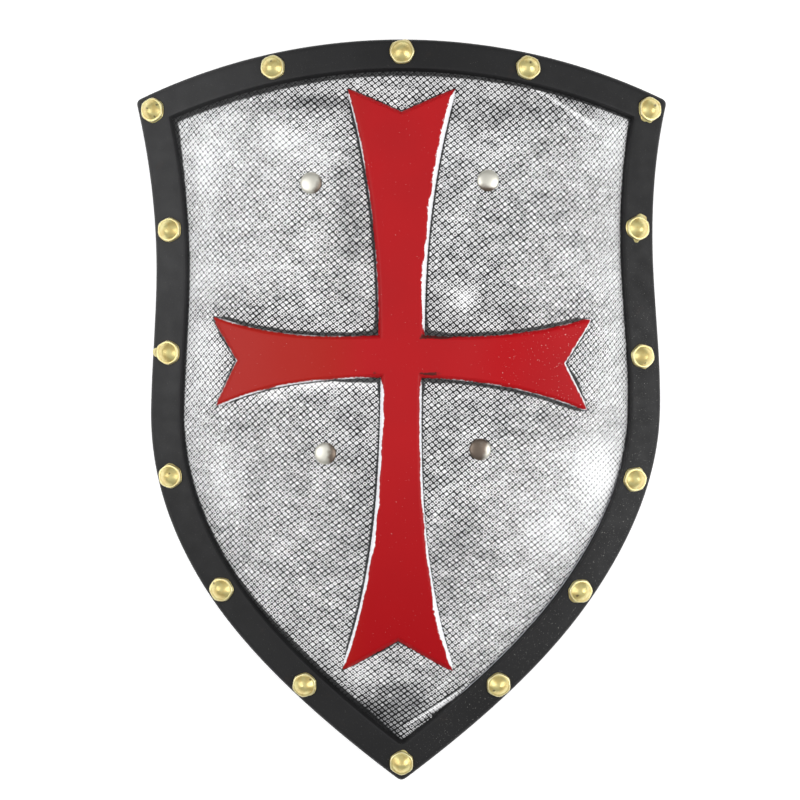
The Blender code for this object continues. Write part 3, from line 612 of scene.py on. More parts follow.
def latex_paint(colours):
    """Black latex skin, moulded. Semi-matt, with pale dust specks and faint brown scuffs."""
    made, add = new_material("black_latex_skin_moulded")
    place = add("TexCoord", {}, 3)
    painted_light_upper_left, dusty, wall = [add("Attribute", {}, 2, attribute_name=name)
                          for name in ("painted_light_upper_left", "dusty", "silver_line")]
    soft = add("TexNoise", {0: place, 2: per_metre(70), 3: 2.0})
    soft = add("MapRange", {0: soft, 1: 0.35, 2: 0.7}, **SMOOTH)
    soft = add("Mix", {0: soft, 6: colours.latex, 7: srgb("1d1d1e")}, 2, **TINT)
    # Painted light: the border paler toward the upper left
    lit_and_scuffed = add("Mix", {0: painted_light_upper_left, 6: soft, 7: srgb("333334")}, 2, **TINT)
    brown = add("Mapping", {0: place, 1: (0.31, 0.21, 0.0)})
    brown = add("TexNoise", {0: brown, 2: per_metre(26), 3: 4.0, 4: 0.65})
    brown = add("MapRange", {0: brown, 1: 0.62, 2: 0.78, 4: 0.35}, **SMOOTH)
    lit_and_scuffed = add("Mix", {0: brown, 6: lit_and_scuffed, 7: srgb("352a25")}, 2, **TINT)
    fine = add("Mapping", {0: place, 1: (0.11, 0.08, 0.0)})
    fine = add("TexNoise", {0: fine, 2: per_metre(0.9), 3: 2.0, 4: 0.7})
    fine = add("MapRange", {0: fine, 1: 0.66, 2: 0.76}, **SMOOTH)
    specks = add("Math", {0: fine, 1: dusty}, **TIMES)
    dusted = add("Mix", {0: specks, 6: lit_and_scuffed, 7: srgb("a9a7a2")}, 2, **TINT)
    ragged = add("TexNoise", {0: place, 2: per_metre(4), 3: 3.0, 4: 0.65})
    line = add("Math", {0: ragged, 1: 0.8, 2: wall}, **TIMES_PLUS)
    line = add("MapRange", {0: line, 1: 0.95, 2: 1.25}, **SMOOTH)
    there = add("MapRange", {0: wall, 1: 0.02, 2: 0.2}, **SMOOTH)
    line = add("Math", {0: line, 1: there}, **TIMES)
    gloss = add("TexNoise", {0: place, 2: per_metre(12), 3: 3.0})
    dimple = add("TexNoise", {0: place, 2: per_metre(0.8), 3: 2.0, 4: 0.6})
    wave = add("TexNoise", {0: place, 2: per_metre(6), 3: 3.0})
    relief = add("Math", {0: wave, 1: 1.6, 2: dimple}, **TIMES_PLUS)
    add(None, {
        "Base Color": add("Mix", {0: line, 6: dusted, 7: srgb("c9cad2")}, 2, **TINT),
        "Roughness": add("MapRange", {0: gloss, 1: 0.3, 2: 0.7, 3: 0.44, 4: 0.60}),
        "Specular IOR Level": 0.24,
        "Normal": add("Bump", {0: 0.25, 1: 0.00025, "Height": relief}),
    })
    return made


def cross_paint(colours):
    """Red acrylic enamel, brushed, over silvered and blackened walls. Even and a little
    glossy, with a ragged silver line where the brush stopped and black in the corners."""
    made, add = new_material("red_acrylic_enamel_brushed")
    place = add("TexCoord", {}, 3)
    wall, shade, low, smear, dusty, dull = [
        add("Attribute", {}, 2, attribute_name=name)
        for name in ("wall", "wall_silver", "shaded_toward_bottom", "smear", "dusty", "dull")]
    uneven = add("TexNoise", {0: place, 2: per_metre(22), 3: 3.0})
    uneven = add("MapRange", {0: uneven, 1: 0.36, 2: 0.54, 3: 0.55, 4: 1.0})
    shade = add("Math", {0: shade, 1: uneven}, **TIMES)
    soft = add("TexNoise", {0: place, 2: per_metre(60), 3: 2.0})
    soft = add("MapRange", {0: soft, 1: 0.3, 2: 0.7}, **SMOOTH)
    body = add("Mix", {0: soft, 6: colours.red, 7: srgb("a30811")}, 2, **TINT)
    gloss = add("MapRange", {0: add("Math", {0: low, 1: dusty}, **MOST), 3: 0.22, 4: 0.13})
    # Painted shade: the red darker toward the bottom of the cross
    low = add("MapRange", {0: low, 4: 0.80})
    body = add("Mix", {0: low, 6: body, 7: srgb("980009")}, 2, **TINT)
    body = add("Mix", {0: dull, 6: body, 7: srgb("a2160b")}, 2, **TINT)
    flecks = add("Mapping", {0: place, 1: (0.2, 0.14, 0.0)})
    flecks = add("TexNoise", {0: flecks, 2: per_metre(1.3), 3: 2.0, 4: 0.7})
    flecks = add("Math", {0: dusty, 1: 0.045, 2: flecks}, **TIMES_PLUS)
    flecks = add("MapRange", {0: flecks, 1: 0.735, 2: 0.775, 4: 0.8}, **SMOOTH)
    body = add("Mix", {0: flecks, 6: body, 7: srgb("d8c7c4")}, 2, **TINT)
    blot = add("TexNoise", {0: place, 2: per_metre(4), 3: 5.0, 4: 0.7})
    blot = add("MapRange", {0: blot, 3: -0.9, 4: 0.9})
    black = add("Math", {0: smear, 1: blot}, **PLUS)
    black = add("MapRange", {0: black, 1: 0.35, 2: 0.75, 4: 0.85}, **SMOOTH)
    body = add("Mix", {0: black, 6: body, 7: srgb("2a1a14")}, 2, **TINT)
    ragged = add("TexNoise", {0: place, 2: per_metre(2.4), 3: 5.0, 4: 0.75})
    ragged = add("MapRange", {0: ragged, 3: -0.36, 4: 0.36})
    edge = add("Math", {0: shade, 1: 0.66, 2: wall}, **TIMES_PLUS)
    edge = add("Math", {0: edge, 1: ragged}, **PLUS)
    edge = add("MapRange", {0: edge, 1: 0.92, 2: 1.0}, **SMOOTH)
    patchy = add("Math", {0: blot, 1: 0.30, 2: shade}, **TIMES_PLUS)
    patchy = add("MapRange", {0: patchy, 1: 0.12, 2: 0.36}, **SMOOTH)
    bare = add("Mix", {0: patchy, 6: srgb("161718"), 7: srgb("f4f4f8")}, 2, **TINT)
    wave = add("TexNoise", {0: place, 2: per_metre(5), 3: 4.0, 4: 0.6})
    add(None, {
        "Base Color": add("Mix", {0: edge, 6: body, 7: bare}, 2, **TINT),
        "Roughness": add("MapRange", {0: edge, 3: 0.44, 4: 0.55}),
        "Specular IOR Level": gloss,
        "Normal": add("Bump", {0: 0.22, 1: 0.0003, "Height": wave}),
    })
    return made


def gold_paint(colours):
    """Gold acrylic with metallic pigment, brushed on. Bright on the dome and the corners of
    the hexagon, olive where it thins over black in the hollow round the dome."""
    made, add = new_material("gold_acrylic_metallic_brushed")
    place = add("TexCoord", {}, 3)
    hollow, rim, bare = [add("Attribute", {}, 2, attribute_name=name)
                         for name in ("hollow", "rim", "bare")]
    soft = add("TexNoise", {0: place, 2: per_metre(6), 3: 3.0})
    soft = add("MapRange", {0: soft, 1: 0.38, 2: 0.62}, **SMOOTH)
    base = add("Mix", {0: soft, 6: colours.gold, 7: srgb("cfb970")}, 2, **TINT)
    thin = add("TexNoise", {0: place, 2: per_metre(2.4), 3: 3.0, 4: 0.65})
    thin = add("MapRange", {0: thin, 3: -0.5, 4: 0.5})
    # Painted shade in the hollow round the dome and on its steep foot, with thin gold
    thin = add("Math", {0: thin, 1: hollow}, **PLUS)
    thin = add("MapRange", {0: thin, 1: 0.15, 2: 0.95, 4: 0.75}, **SMOOTH)
    worn = add("Mix", {0: thin, 6: base, 7: colours.gold_low}, 2, **TINT)
    # Painted highlight: cream along the rim of the hexagon
    rim_highlight = add("MapRange", {0: rim, 4: 0.62})
    lit = add("Mix", {0: rim_highlight, 6: worn, 7: srgb("f4edc6")}, 2, **TINT)
    pits = add("Mapping", {0: place, 1: (0.4, 0.28, 0.0)})
    pits = add("TexNoise", {0: pits, 2: per_metre(0.9), 3: 1.0, 4: 0.6})
    pits = add("MapRange", {0: pits, 1: 0.74, 2: 0.78, 4: 0.5}, **SMOOTH)
    spots = add("Math", {0: bare, 1: pits}, **MOST)
    gloss = add("TexNoise", {0: place, 2: per_metre(3), 3: 3.0})
    wave = add("TexNoise", {0: place, 2: per_metre(2.6), 3: 3.0})
    add(None, {
        "Base Color": add("Mix", {0: spots, 6: lit, 7: srgb("4a3a26")}, 2, **TINT),
        "Metallic": 0.70, "Coat Weight": 0.8, "Coat Roughness": 0.26,
        "Roughness": add("MapRange", {0: gloss, 1: 0.3, 2: 0.7, 3: 0.30, 4: 0.42}),
        "Normal": add("Bump", {0: 0.40, 1: 0.00022, "Height": wave}),
    })
    return made


def nickel_finish(colours):
    """Nickel-plated steel, pressed. Satin from handling, with a broad soft reflection and a
    little brown tarnish along one side."""
    made, add = new_material("nickel_plated_steel_satin")
    place = add("TexCoord", {}, 3)
    cloud = add("TexNoise", {0: place, 2: per_metre(4), 3: 3.0})
    # Painted reflection: dark brown along one side of the head
    side = add("Attribute", {}, 2, attribute_name="painted_reflection")
    side = add("Math", {0: cloud, 1: 0.7, 2: side}, **TIMES_PLUS)
    side = add("MapRange", {0: side, 1: 0.55, 2: 1.35}, **SMOOTH)
    gloss = add("TexNoise", {0: place, 2: per_metre(3), 3: 3.0})
    add(None, {
        "Base Color": add("Mix", {0: side, 6: colours.nickel, 7: srgb("75695f")}, 2, **TINT),
        "Metallic": 1.0,
        "Roughness": add("MapRange", {0: gloss, 1: 0.3, 2: 0.7, 3: 0.40, 4: 0.48}),
    })
    return made


def webbing_finish(colours):
    """Black polypropylene webbing, woven: ribs across and a slightly furry, satin yarn. Each
    rib is a sine along the strap, moved by half a rib from one yarn to the next."""
    made, add = new_material("black_polypropylene_webbing_woven")
    place = add("TexCoord", {}, 3)
    weave = add("SeparateXYZ", {0: add("UVMap", {}, uv_map="weave")}).node.outputs
    row = add("Math", {0: weave[1]}, operation="FLOOR")
    shifted = add("Math", {0: row, 1: 0.5, 2: weave[0]}, **TIMES_PLUS)
    waves = []
    for along in (shifted, weave[1]):
        turn = add("Math", {0: along, 1: math.pi}, **TIMES)
        waves.append(add("Math", {0: add("Math", {0: turn}, operation="SINE")}, **SIZE_OF))
    height = add("Math", {0: waves[1], 1: 0.5, 2: waves[0]}, **TIMES_PLUS)
    # Painted shade: near black in the valleys between the ribs
    tone = add("MapRange", {0: height, 1: 0.3, 2: 1.4}, **SMOOTH)
    worn = add("TexNoise", {0: place, 2: per_metre(8), 3: 3.0})
    worn = add("MapRange", {0: worn, 1: 0.3, 2: 0.7}, **SMOOTH)
    yarn = add("Mix", {0: worn, 6: colours.webbing, 7: srgb("2a2a2d")}, 2, **TINT)
    add(None, {
        "Base Color": add("Mix", {0: tone, 6: srgb("0c0c0d"), 7: yarn}, 2, **TINT),
        "Roughness": 0.62, "Sheen Weight": 0.25, "Sheen Roughness": 0.4,
        "Normal": add("Bump", {0: 0.8, 1: 0.0004, "Height": height}),
    })
    return made


def foam_back_finish(colours):
    """Black polyurethane foam, moulded open-faced: fine closed cells, flow marks and dust."""
    made, add = new_material("black_polyurethane_foam_moulded")
    place = add("TexCoord", {}, 3)
    cells = add("TexVoronoi", {0: place, 2: per_metre(1.6)})
    # Painted shade: near black in the pore in the middle of each cell
    pores = add("MapRange", {0: cells, 1: 0.05, 2: 0.22}, **SMOOTH)
    flow = add("TexNoise", {0: place, 2: per_metre(60), 3: 4.0})
    flow = add("MapRange", {0: flow, 1: 0.35, 2: 0.7}, **SMOOTH)
    base = add("Mix", {0: flow, 6: colours.foam, 7: srgb("2f2f30")}, 2, **TINT)
    gloss = add("TexNoise", {0: place, 2: per_metre(20), 3: 3.0})
    wave = add("TexNoise", {0: place, 2: per_metre(14), 3: 4.0})
    height = add("Math", {0: pores, 1: 0.6, 2: wave}, **TIMES_PLUS)
    add(None, {
        "Base Color": add("Mix", {0: pores, 6: srgb("121213"), 7: base}, 2, **TINT),
        "Roughness": add("MapRange", {0: gloss, 1: 0.3, 2: 0.7, 3: 0.62, 4: 0.78}),
        "Normal": add("Bump", {0: 0.4, 1: 0.0004, "Height": height}),
    })
    return made


def backdrop_finish(colours):
    """White seamless paper, matt and evenly lit."""
    made, add = new_material("white_seamless_paper")
    place = add("TexCoord", {}, 3)
    soft = add("TexNoise", {0: place, 2: per_metre(300), 3: 2.0})
    add(None, {
        "Base Color": add("Mix", {0: soft, 6: colours.floor, 7: srgb("f4f4f4")}, 2, **TINT),
        "Roughness": 0.9, "Specular IOR Level": 0.1,
        "Emission Color": (1, 1, 1), "Emission Strength": 0.45,
    })
    return made


FINISHES = {
    "field": field_paint, "latex": latex_paint, "cross": cross_paint, "gold": gold_paint,
    "nickel": nickel_finish, "webbing": webbing_finish, "foam": foam_back_finish,
    "backdrop": backdrop_finish,
}
_made_finishes = {}


def finish(kind):
    """The material of one kind, made the first time it is asked for."""
    if kind not in _made_finishes:
        _made_finishes[kind] = FINISHES[kind](bpy.context.scene.shield_colours)
    return _made_finishes[kind]


def place_piece(made, kinds, slot, *nodes):
    """Gives a piece its finishes, the fixed body, its slot and the nodes it stands for."""
    for kind in kinds:
        made.data.materials.append(finish(kind))
    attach(made, "root")
    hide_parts(*nodes)


# Shapes

# Which part of the casting a ring of points belongs to. The last is the border's inner wall
# with the undercoat of the field.
BACK, BORDER, INNER_WALL = 0, 1, 2
BROW = 0.0008  # rounding over the inner wall


def plate_shape(outline):
    """The casting without its field. Closed rings (inset, height) are carried round the
    outline: the hollowed back, the rounded edge, the border and its drafted inner wall, and
    the undercoat of the field, with a fan of faces at each pole."""
    s = outline.s
    rings, kinds = [], []

    def add_ring(ring, height, kind):
        rings.append(np.column_stack([ring, height]))
        kinds.append(kind)

    def on_border(inset, level, kind):
        ring = outline.ring(inset, SIDE_STEPS, TOP_STEPS, rounded=inset < s.edge_round)
        add_ring(ring, outline.border_height(ring[:, 0], ring[:, 1]) + level, kind)

    def on_surface(inset, height, shrink, drop, kind):
        ring = outline.ring(inset, SIDE_STEPS, TOP_STEPS)
        middle = np.array([0.0, outline.crown_y / 2])
        ring = middle + (ring - middle) * shrink
        add_ring(ring, height(ring[:, 0], ring[:, 1]) - drop, kind)

    inner = s.border + 2.2 * s.pillow_reach
    for shrink in (0.06, 0.2, 0.35, 0.5, 0.65, 0.8, 0.9, 1.0):
        on_surface(inner, outline.back_height, shrink, 0.0, BACK)
    for share in (2.2, 1.4, 0.9, 0.5, 0.25, 0.1, 0.0):
        on_surface(s.back_rim + s.back_slope * share, outline.back_height, 1.0, 0.0, BACK)
    on_border((s.back_rim + s.back_round) / 2, -s.thickness, BACK)
    for turn in BACK_TURNS:
        inset, lift = outline.back_edge(turn)
        on_border(inset, lift - s.thickness, BORDER if turn < 60 else BACK)
    for turn in (0, 15, 30, 45, 60, 75, 90):
        angle = math.radians(turn)
        on_border(s.edge_round * (1 - math.cos(angle)), s.edge_round * (math.sin(angle) - 1),
                  BORDER)
    brow_start = s.border - s.draft
    for share in (0.1, 0.3, 0.5, 0.7, 0.9):
        on_border(s.edge_round + (brow_start - BROW - s.edge_round) * share, 0.0, BORDER)
    for turn in (10, 40, 70, 90):
        angle = math.radians(turn)
        on_border(brow_start - BROW * (1 - math.sin(angle)), -BROW * (1 - math.cos(angle)),
                  BORDER)
    for share in (0.3, 0.6, 0.85, 1.0):
        on_border(brow_start + s.draft * share, -BROW - (s.step - BROW) * share, INNER_WALL)
    on_surface(s.border + 0.0004, outline.field_height, 1.0, s.undercoat, INNER_WALL)
    for share in (0.25, 0.6, 1.2, 2.2):
        on_surface(s.border + share * s.pillow_reach, outline.field_height, 1.0, s.undercoat,
                   INNER_WALL)
    for shrink in (0.85, 0.7, 0.55, 0.4, 0.25, 0.1):
        on_surface(inner, outline.field_height, shrink, s.undercoat, INNER_WALL)

    count = len(rings[0])
    points = np.vstack(rings)
    faces = grid_faces(len(rings), count, True).tolist()
    for ring, height, start in ((rings[0], outline.back_height, 0),
                                (rings[-1], outline.field_height, len(points) - count)):
        x, y = ring[:, 0].mean(), ring[:, 1].mean()
        pole = np.array([[x, y, ring[:, 2].max()]])
        faces += fan(len(points), start, count)
        points = np.vstack([points, pole])
    kinds = np.append(np.repeat(kinds, count), (BACK, INNER_WALL))
    return points, faces, kinds


def cross_outline(outline_steps, end_steps):
    """Closed outline of the top of the cross round its centre, with the start of each arm's
    stretch. The half width of an arm grows from root to end as its share to a power."""
    arms = []
    for index, (direction, reach, notch, root, end, flare) in enumerate(CROSS_ARMS):
        neighbour = CROSS_ARMS[(index + 1) % 4][3]
        along = np.linspace(neighbour, reach, outline_steps + 1)[1:]
        share = (along - neighbour) / (reach - neighbour)
        half = root + (end - root) * share ** flare
        angle = math.radians(direction)
        turn = np.array([[math.cos(angle), math.sin(angle)], [-math.sin(angle), math.cos(angle)]])
        right = np.column_stack([along, -half])
        left = np.column_stack([along, half])
        t = np.linspace(0, 1, end_steps + 1)[1:, None]
        bottom = np.array([[reach - notch, 0.0]])
        rise = right[-1:] + (bottom - right[-1:]) * t
        fall = bottom + (left[-1:] - bottom) * t
        arms.append([part @ turn for part in (right, np.vstack([rise, fall[:-1]]), left[::-1])])
        quarter = math.radians(90 * index)
        out = np.array([math.cos(quarter), math.sin(quarter)])
        corner = out * neighbour + np.array([-out[1], out[0]]) * root
        arms[-1].append(corner[None, :])
    return arms


def grown(line, distance):
    """A closed line moved outward along its corners' normals, sharp ones kept short."""
    normals = []
    for edge in (line - np.roll(line, 1, axis=0), np.roll(line, -1, axis=0) - line):
        unit = edge / np.hypot(edge[:, 0], edge[:, 1])[:, None]
        normals.append(np.column_stack([unit[:, 1], -unit[:, 0]]))
    spread = np.maximum(1 + (normals[0] * normals[1]).sum(axis=1), 0.6)
    return line + (normals[0] + normals[1]) * (distance / spread)[:, None]


def distance_to_line(points, line):
    """Signed distance from a closed line, less than zero inside it."""
    start, end = line, np.roll(line, -1, axis=0)
    run = end - start
    squared = (run ** 2).sum(axis=1)
    nearest = np.empty(len(points))
    inside = np.empty(len(points), dtype=bool)
    for first in range(0, len(points), POINTS_AT_ONCE):
        here = slice(first, first + POINTS_AT_ONCE)
        part = points[here, None, :]
        share = np.clip(((part - start) * run).sum(axis=2) / squared, 0, 1)
        gap = part - start - share[..., None] * run
        nearest[here] = np.sqrt((gap ** 2).sum(axis=2).min(axis=1))
        above = (start[:, 1] > part[..., 1]) != (end[:, 1] > part[..., 1])
        with np.errstate(divide="ignore", invalid="ignore"):
            crossing = start[:, 0] + (part[..., 1] - start[:, 1]) * run[:, 0] / run[:, 1]
        inside[here] = (above & (part[..., 0] < crossing)).sum(axis=1) % 2 == 1
    return np.where(inside, -nearest, nearest)


ARM_STEPS = 60
END_STEPS = 10
END_PULL = 1.6  # power of the share along an arm with which its rows bend to its V
EDGE_WALL = 0.22  # the value "wall" at the upper edge
EDGE_FADE = 0.0012  # distance from the edge in which it falls to a third
SURFACE_SWAY = 0.0001  # unevenness of the top


def cross_shape(outline, sizes):
    """The raised cross. Its walls are the outline carried outward and down; each arm's top
    is a grid between its two flanks, pulled into a V toward the notch, and the crossing is
    a patch between the four roots: the sum of the two ways across less the four corners."""
    arms = cross_outline(ARM_STEPS, END_STEPS)
    line = np.vstack([part for arm in arms for part in arm])
    centre = np.array([0.0, sizes.centre])

    def lifted(flat, level):
        x, y = (flat + centre).T
        sway = SURFACE_SWAY * (smooth_noise(x, y, 0.035, 5) - 1.2)
        return np.column_stack([x, y, outline.field_height(x, y) + level + sway * (level > 0)])

    foot = sizes.draft * (sizes.rise + sizes.sink) / sizes.rise
    edge = sizes.edge
    rings = [(foot, -sizes.sink), (sizes.draft, 0.0), (sizes.draft * 0.6, sizes.rise * 0.4),
             (sizes.draft * 0.25, sizes.rise * 0.75), (0.0, sizes.rise - edge * 0.8),
             (-edge * 0.35, sizes.rise - edge * 0.25), (-edge, sizes.rise)]
    points = np.vstack([lifted(grown(line, out), level) for out, level in rings])
    faces = grid_faces(len(rings), len(line), True).tolist()
    wall = np.repeat([1.0, 0.9, 0.75, 0.6, 0.45, 0.34, EDGE_WALL], len(line))
    around = grown(line, MILLIMETRE) - line
    around /= np.hypot(around[:, 0], around[:, 1])[:, None]
    silver = np.tile(wall_silver(line, around), len(rings))

    inner = grown(line, -edge)
    per_arm = 2 * ARM_STEPS + 2 * END_STEPS
    wide = 2 * END_STEPS + 1
    corners = [inner[(index + 1) * per_arm - 1] for index in range(len(CROSS_ARMS))]
    t = np.linspace(0, 1, wide)
    bend = np.linspace(0, 1, ARM_STEPS + 1)[:, None, None] ** END_PULL
    flat_parts = []
    for index, corner in enumerate(corners):
        arm = inner[index * per_arm:(index + 1) * per_arm]
        right = np.vstack([corners[index - 1][None], arm[:ARM_STEPS]])
        end_line = arm[ARM_STEPS - 1:ARM_STEPS + 2 * END_STEPS]
        left = np.vstack([corner[None], arm[ARM_STEPS + 2 * END_STEPS - 1:-1][::-1]])
        rows = right[:, None, :] * (1 - t[:, None]) + left[:, None, :] * t[:, None]
        flat_parts.append(rows + (end_line - rows[-1]) * bend)
    right_side, top_side, left_side, bottom_side = (rows[0] for rows in flat_parts)
    top_side, left_side = top_side[::-1], left_side[::-1]
    u, v = t[None, :, None], t[:, None, None]
    patch = ((1 - v) * bottom_side[None] + v * top_side[None]
             + (1 - u) * left_side[:, None] + u * right_side[:, None]
             - (1 - u) * (1 - v) * bottom_side[0] - u * (1 - v) * bottom_side[-1]
             - (1 - u) * v * top_side[0] - u * v * top_side[-1])
    flat_parts.append(patch)
    for rows in flat_parts:
        start = len(points)
        height, width = rows.shape[:2]
        points = np.vstack([points, lifted(rows.reshape(-1, 2), sizes.rise)])
        faces += (grid_faces(height, width, False) + start).tolist()
        inside = distance_to_line(rows.reshape(-1, 2), line)
        wall = np.append(wall, EDGE_WALL * np.exp((inside + edge) / EDGE_FADE))
        nearest = np.abs(rows.reshape(-1, 1, 2) - line[None, ::4]).sum(axis=2).argmin(axis=1) * 4
        silver = np.append(silver, silver[nearest])
    return points, faces, wall, silver


def wall_silver(line, facing):
    """Silver on the walls of the cross, from the place and the side that each faces: thick on
    the right of the upper arm and on both sides of the lower arm, thin elsewhere, and hardly
    any in the four inner corners."""
    x, y = line.T
    side_arm = step_up(np.abs(x) - np.abs(y), -0.004, 0.004)
    right, left = np.clip(facing[:, 0], 0, 1), np.clip(-facing[:, 0], 0, 1)
    up, down = np.clip(facing[:, 1], 0, 1), np.clip(-facing[:, 1], 0, 1)
    lower = step_up(-y, 0.0, 0.03)
    far = step_up(-y, 0.15, 0.21)
    upright = right * ((1 - lower) * 1.15 + lower * (0.55 + 0.58 * far))
    left_above = 0.20 + 0.14 * step_up(y, 0.12, 0.18)
    upright += left * ((1 - lower) * left_above + lower * (1.08 - 0.36 * far))
    upright *= 1 - step_up(up + down, 0.5, 0.75)
    upright += up * 0.16 + down * 0.05
    level = up * np.where(x < 0, 0.22, 0.14) + down * np.where(x < 0, 0.28, 0.20)
    level *= 1 - step_up(right + left, 0.5, 0.75)
    level += right * 0.42 + left * 0.26
    silver = upright * (1 - side_arm) + level * side_arm
    corner = np.exp(-(np.hypot(np.abs(x) - 0.016, np.abs(y) - 0.016) / 0.009) ** 2)
    return silver * (1 - 0.9 * corner)


# Black rubbed into the red near the crossing: place from its centre and reach in mm, and how
# much of it
SMEARS = (
    (31, 14.8, 13, 1.4, 1.3), (17, 15, 2.5, 2.5, 0.9), (23, -14.6, 8, 1.4, 1.3),
    (-24, 14, 12, 1.0, 0.5), (-20, -14, 8, 1.1, 0.7), (30, -9, 6, 1.5, 0.25),
)


def foot_line(sizes):
    """The line where the walls of the cross meet the field."""
    line = np.vstack([part for arm in cross_outline(12, 3) for part in arm])
    return grown(line, sizes.draft) + (0.0, sizes.centre)


# Crosshatch: cells tried each way from the middle, the half width and half height that they
# may cover, how far they run under the border's wall and under the cross, the cut corners of
# a pad, and the share of a groove on either side of a pad for each family
HATCH_SPAN = 130
HATCH_REACH = (0.23, 0.33)
UNDER_BORDER = 0.0020
UNDER_CROSS = 0.0030
PAD_CUT = 0.60
GROOVE_SIDES = (0.40, 0.55)


def hatch_shape(outline, sizes, cross):
    """The crosshatched field. Two families of grooves cross on the unrolled surface: a
    corner (i, j) is the point whose distances along the two directions are i and j pitches.
    Each cell has an eight-sided pad over four sloping grooves. Cells run under the border's
    wall, and those under the cross are left out."""
    first = math.radians(sizes.first_angle)
    second = math.radians(sizes.second_angle)
    rows = np.array([[math.cos(first), math.sin(first)], [math.cos(second), math.sin(second)]])
    to_flat = np.linalg.inv(rows / np.array([[sizes.first_pitch], [sizes.second_pitch]]))
    radius = outline.s.face_radius

    def unrolled(i, j):
        return np.einsum("ab,b...->a...", to_flat, np.stack([i, j]))

    def to_plan(i, j):
        across, along = unrolled(i, j)
        sway_x = sizes.warp * smooth_noise(across, along, 0.16, 11)
        sway_y = sizes.warp * smooth_noise(across, along, 0.14, 12)
        crowd = 1 - 0.085 * (np.abs(across) / 0.2) ** 3
        x = radius * np.sin((across * crowd + sway_x) / radius)
        y = outline.crown_y + (along + sway_y) * (1 - 0.02 * (along / 0.3) ** 2)
        return x, y

    cells = np.arange(-HATCH_SPAN, HATCH_SPAN)
    i, j = np.meshgrid(cells, cells, indexing="ij")
    across, along = unrolled(i + 0.5, j + 0.5)
    near = np.abs(across) < HATCH_REACH[0]
    near &= np.abs(along + outline.crown_y) < HATCH_REACH[1]
    i, j = i[near], j[near]
    x, y = to_plan(i + 0.5, j + 0.5)
    half = np.interp(y, outline.side[:, 1], outline.side[:, 0])
    keep = np.abs(x - outline.lean(y)) < half
    keep &= np.hypot(x, y - outline.arc_y) < outline.s.top_arc
    keep &= outline.inset(x, y) > outline.s.border - UNDER_BORDER
    i, j, x, y = i[keep], j[keep], x[keep], y[keep]
    line = foot_line(cross)
    keep = distance_to_line(np.column_stack([x, y]), line) > -UNDER_CROSS
    i, j = i[keep], j[keep]
    count = len(i)

    rng = np.random.default_rng(3)
    cut = PAD_CUT
    eight = np.array([(1, -cut), (1, cut), (cut, 1), (-cut, 1), (-1, cut), (-1, -cut),
                      (-cut, -1), (cut, -1)]) * (0.5 - sizes.groove * np.array(GROOVE_SIDES))
    middle = np.stack([i + 0.5, j + 0.5], axis=-1)[:, None, :]
    drift = rng.normal(0, 0.03, (count, 1, 2))
    pads = middle + drift + eight * rng.normal(1.0, 0.05, (count, 1, 1))
    pads += rng.normal(0, 0.025, (count, 8, 2))
    around = ((1, 0), (1, 1), (0, 1), (0, 0))
    corner_ids = np.stack([np.stack([i + a, j + b], axis=-1) for a, b in around], axis=1)
    unique, which = np.unique(corner_ids.reshape(-1, 2), axis=0, return_inverse=True)
    which = which.reshape(count, 4)
    knots = unique + rng.normal(0, 0.03, unique.shape)

    flat = np.vstack([knots, pads.reshape(-1, 2)])
    x, y = to_plan(flat[:, 0], flat[:, 1])
    inset = outline.inset(x, y)
    n_knots = len(knots)
    level = np.full(len(flat), -sizes.depth)
    level[n_knots:] = np.repeat(rng.normal(0, 0.00005, count), 8)
    level += crease_height(x, y)
    points = np.column_stack([x, y, outline.field_height(x, y, inset) + level])

    ring = n_knots + 8 * np.arange(count)[:, None] + np.arange(8)
    eight_uv = eight * 2
    faces, corner_uv = [ring], [np.broadcast_to(eight_uv, (count, 8, 2))]
    knot_uv = np.array(around) * 2.0 - 1.0
    for side in range(4):
        here, following = which[:, side], which[:, (side + 1) % 4]
        a, b, c = 2 * side, 2 * side + 1, (2 * side + 2) % 8
        faces.append(np.column_stack([here, following, ring[:, b], ring[:, a]]))
        faces.append(np.column_stack([following, ring[:, c], ring[:, b]]))
        spots = [knot_uv[side], knot_uv[(side + 1) % 4], eight_uv[b], eight_uv[a]]
        corner_uv.append(np.broadcast_to(spots, (count, 4, 2)))
        spots = [knot_uv[(side + 1) % 4], eight_uv[c], eight_uv[b]]
        corner_uv.append(np.broadcast_to(spots, (count, 3, 2)))
    tone = rng.normal(0, 0.5, count)
    dots = np.clip(rng.normal(0.72, 0.30, count), 0, 1)
    values = {
        "pad_tone": np.concatenate([np.zeros(n_knots), np.repeat(tone, 8)]),
        "dot": np.concatenate([np.zeros(n_knots), np.repeat(dots, 8)]),
        "brushed": silver_and_light_load(outline, x, y, inset, line),
        # Painted shade in the corners under the cross and the border and beside the folds
        "field_shade": painted_field_shade(outline, x, y, inset, line, cross.centre),
    }
    corner_uv = np.concatenate([part.reshape(-1, 2) for part in corner_uv])
    return points, faces, values, corner_uv


# Creases in the field: a line of points in mm, half width in mm and height in mm
CREASES = (
    (((84, 267), (100, 264), (115, 257), (129, 248), (146, 238), (162, 225)), 2.0, 0.9),
    (((-3, -259), (15, -249), (31, -239), (43, -231), (56, -222)), 1.8, 0.9),
    (((10, -240), (28, -226), (46, -210), (60, -196)), 1.4, 0.35),
)


CREASE_STEPS = 200
CREASE_ROOM = 0.02  # points farther from a crease than this aren't measured


def crease_height(x, y):
    """Height of the creases: a squared cosine across each, fading out at its two ends."""
    height = np.zeros(len(x))
    for line, wide, high in CREASES:
        gap, share = nearest_on(np.array(line) * MILLIMETRE, x, y)
        across = np.clip(gap / (wide * MILLIMETRE), 0, 1)
        ends = np.clip(np.minimum(share, 1 - share) / 0.2, 0, 1)
        height += high * MILLIMETRE * np.cos(across * math.pi / 2) ** 2 * ends
    return height


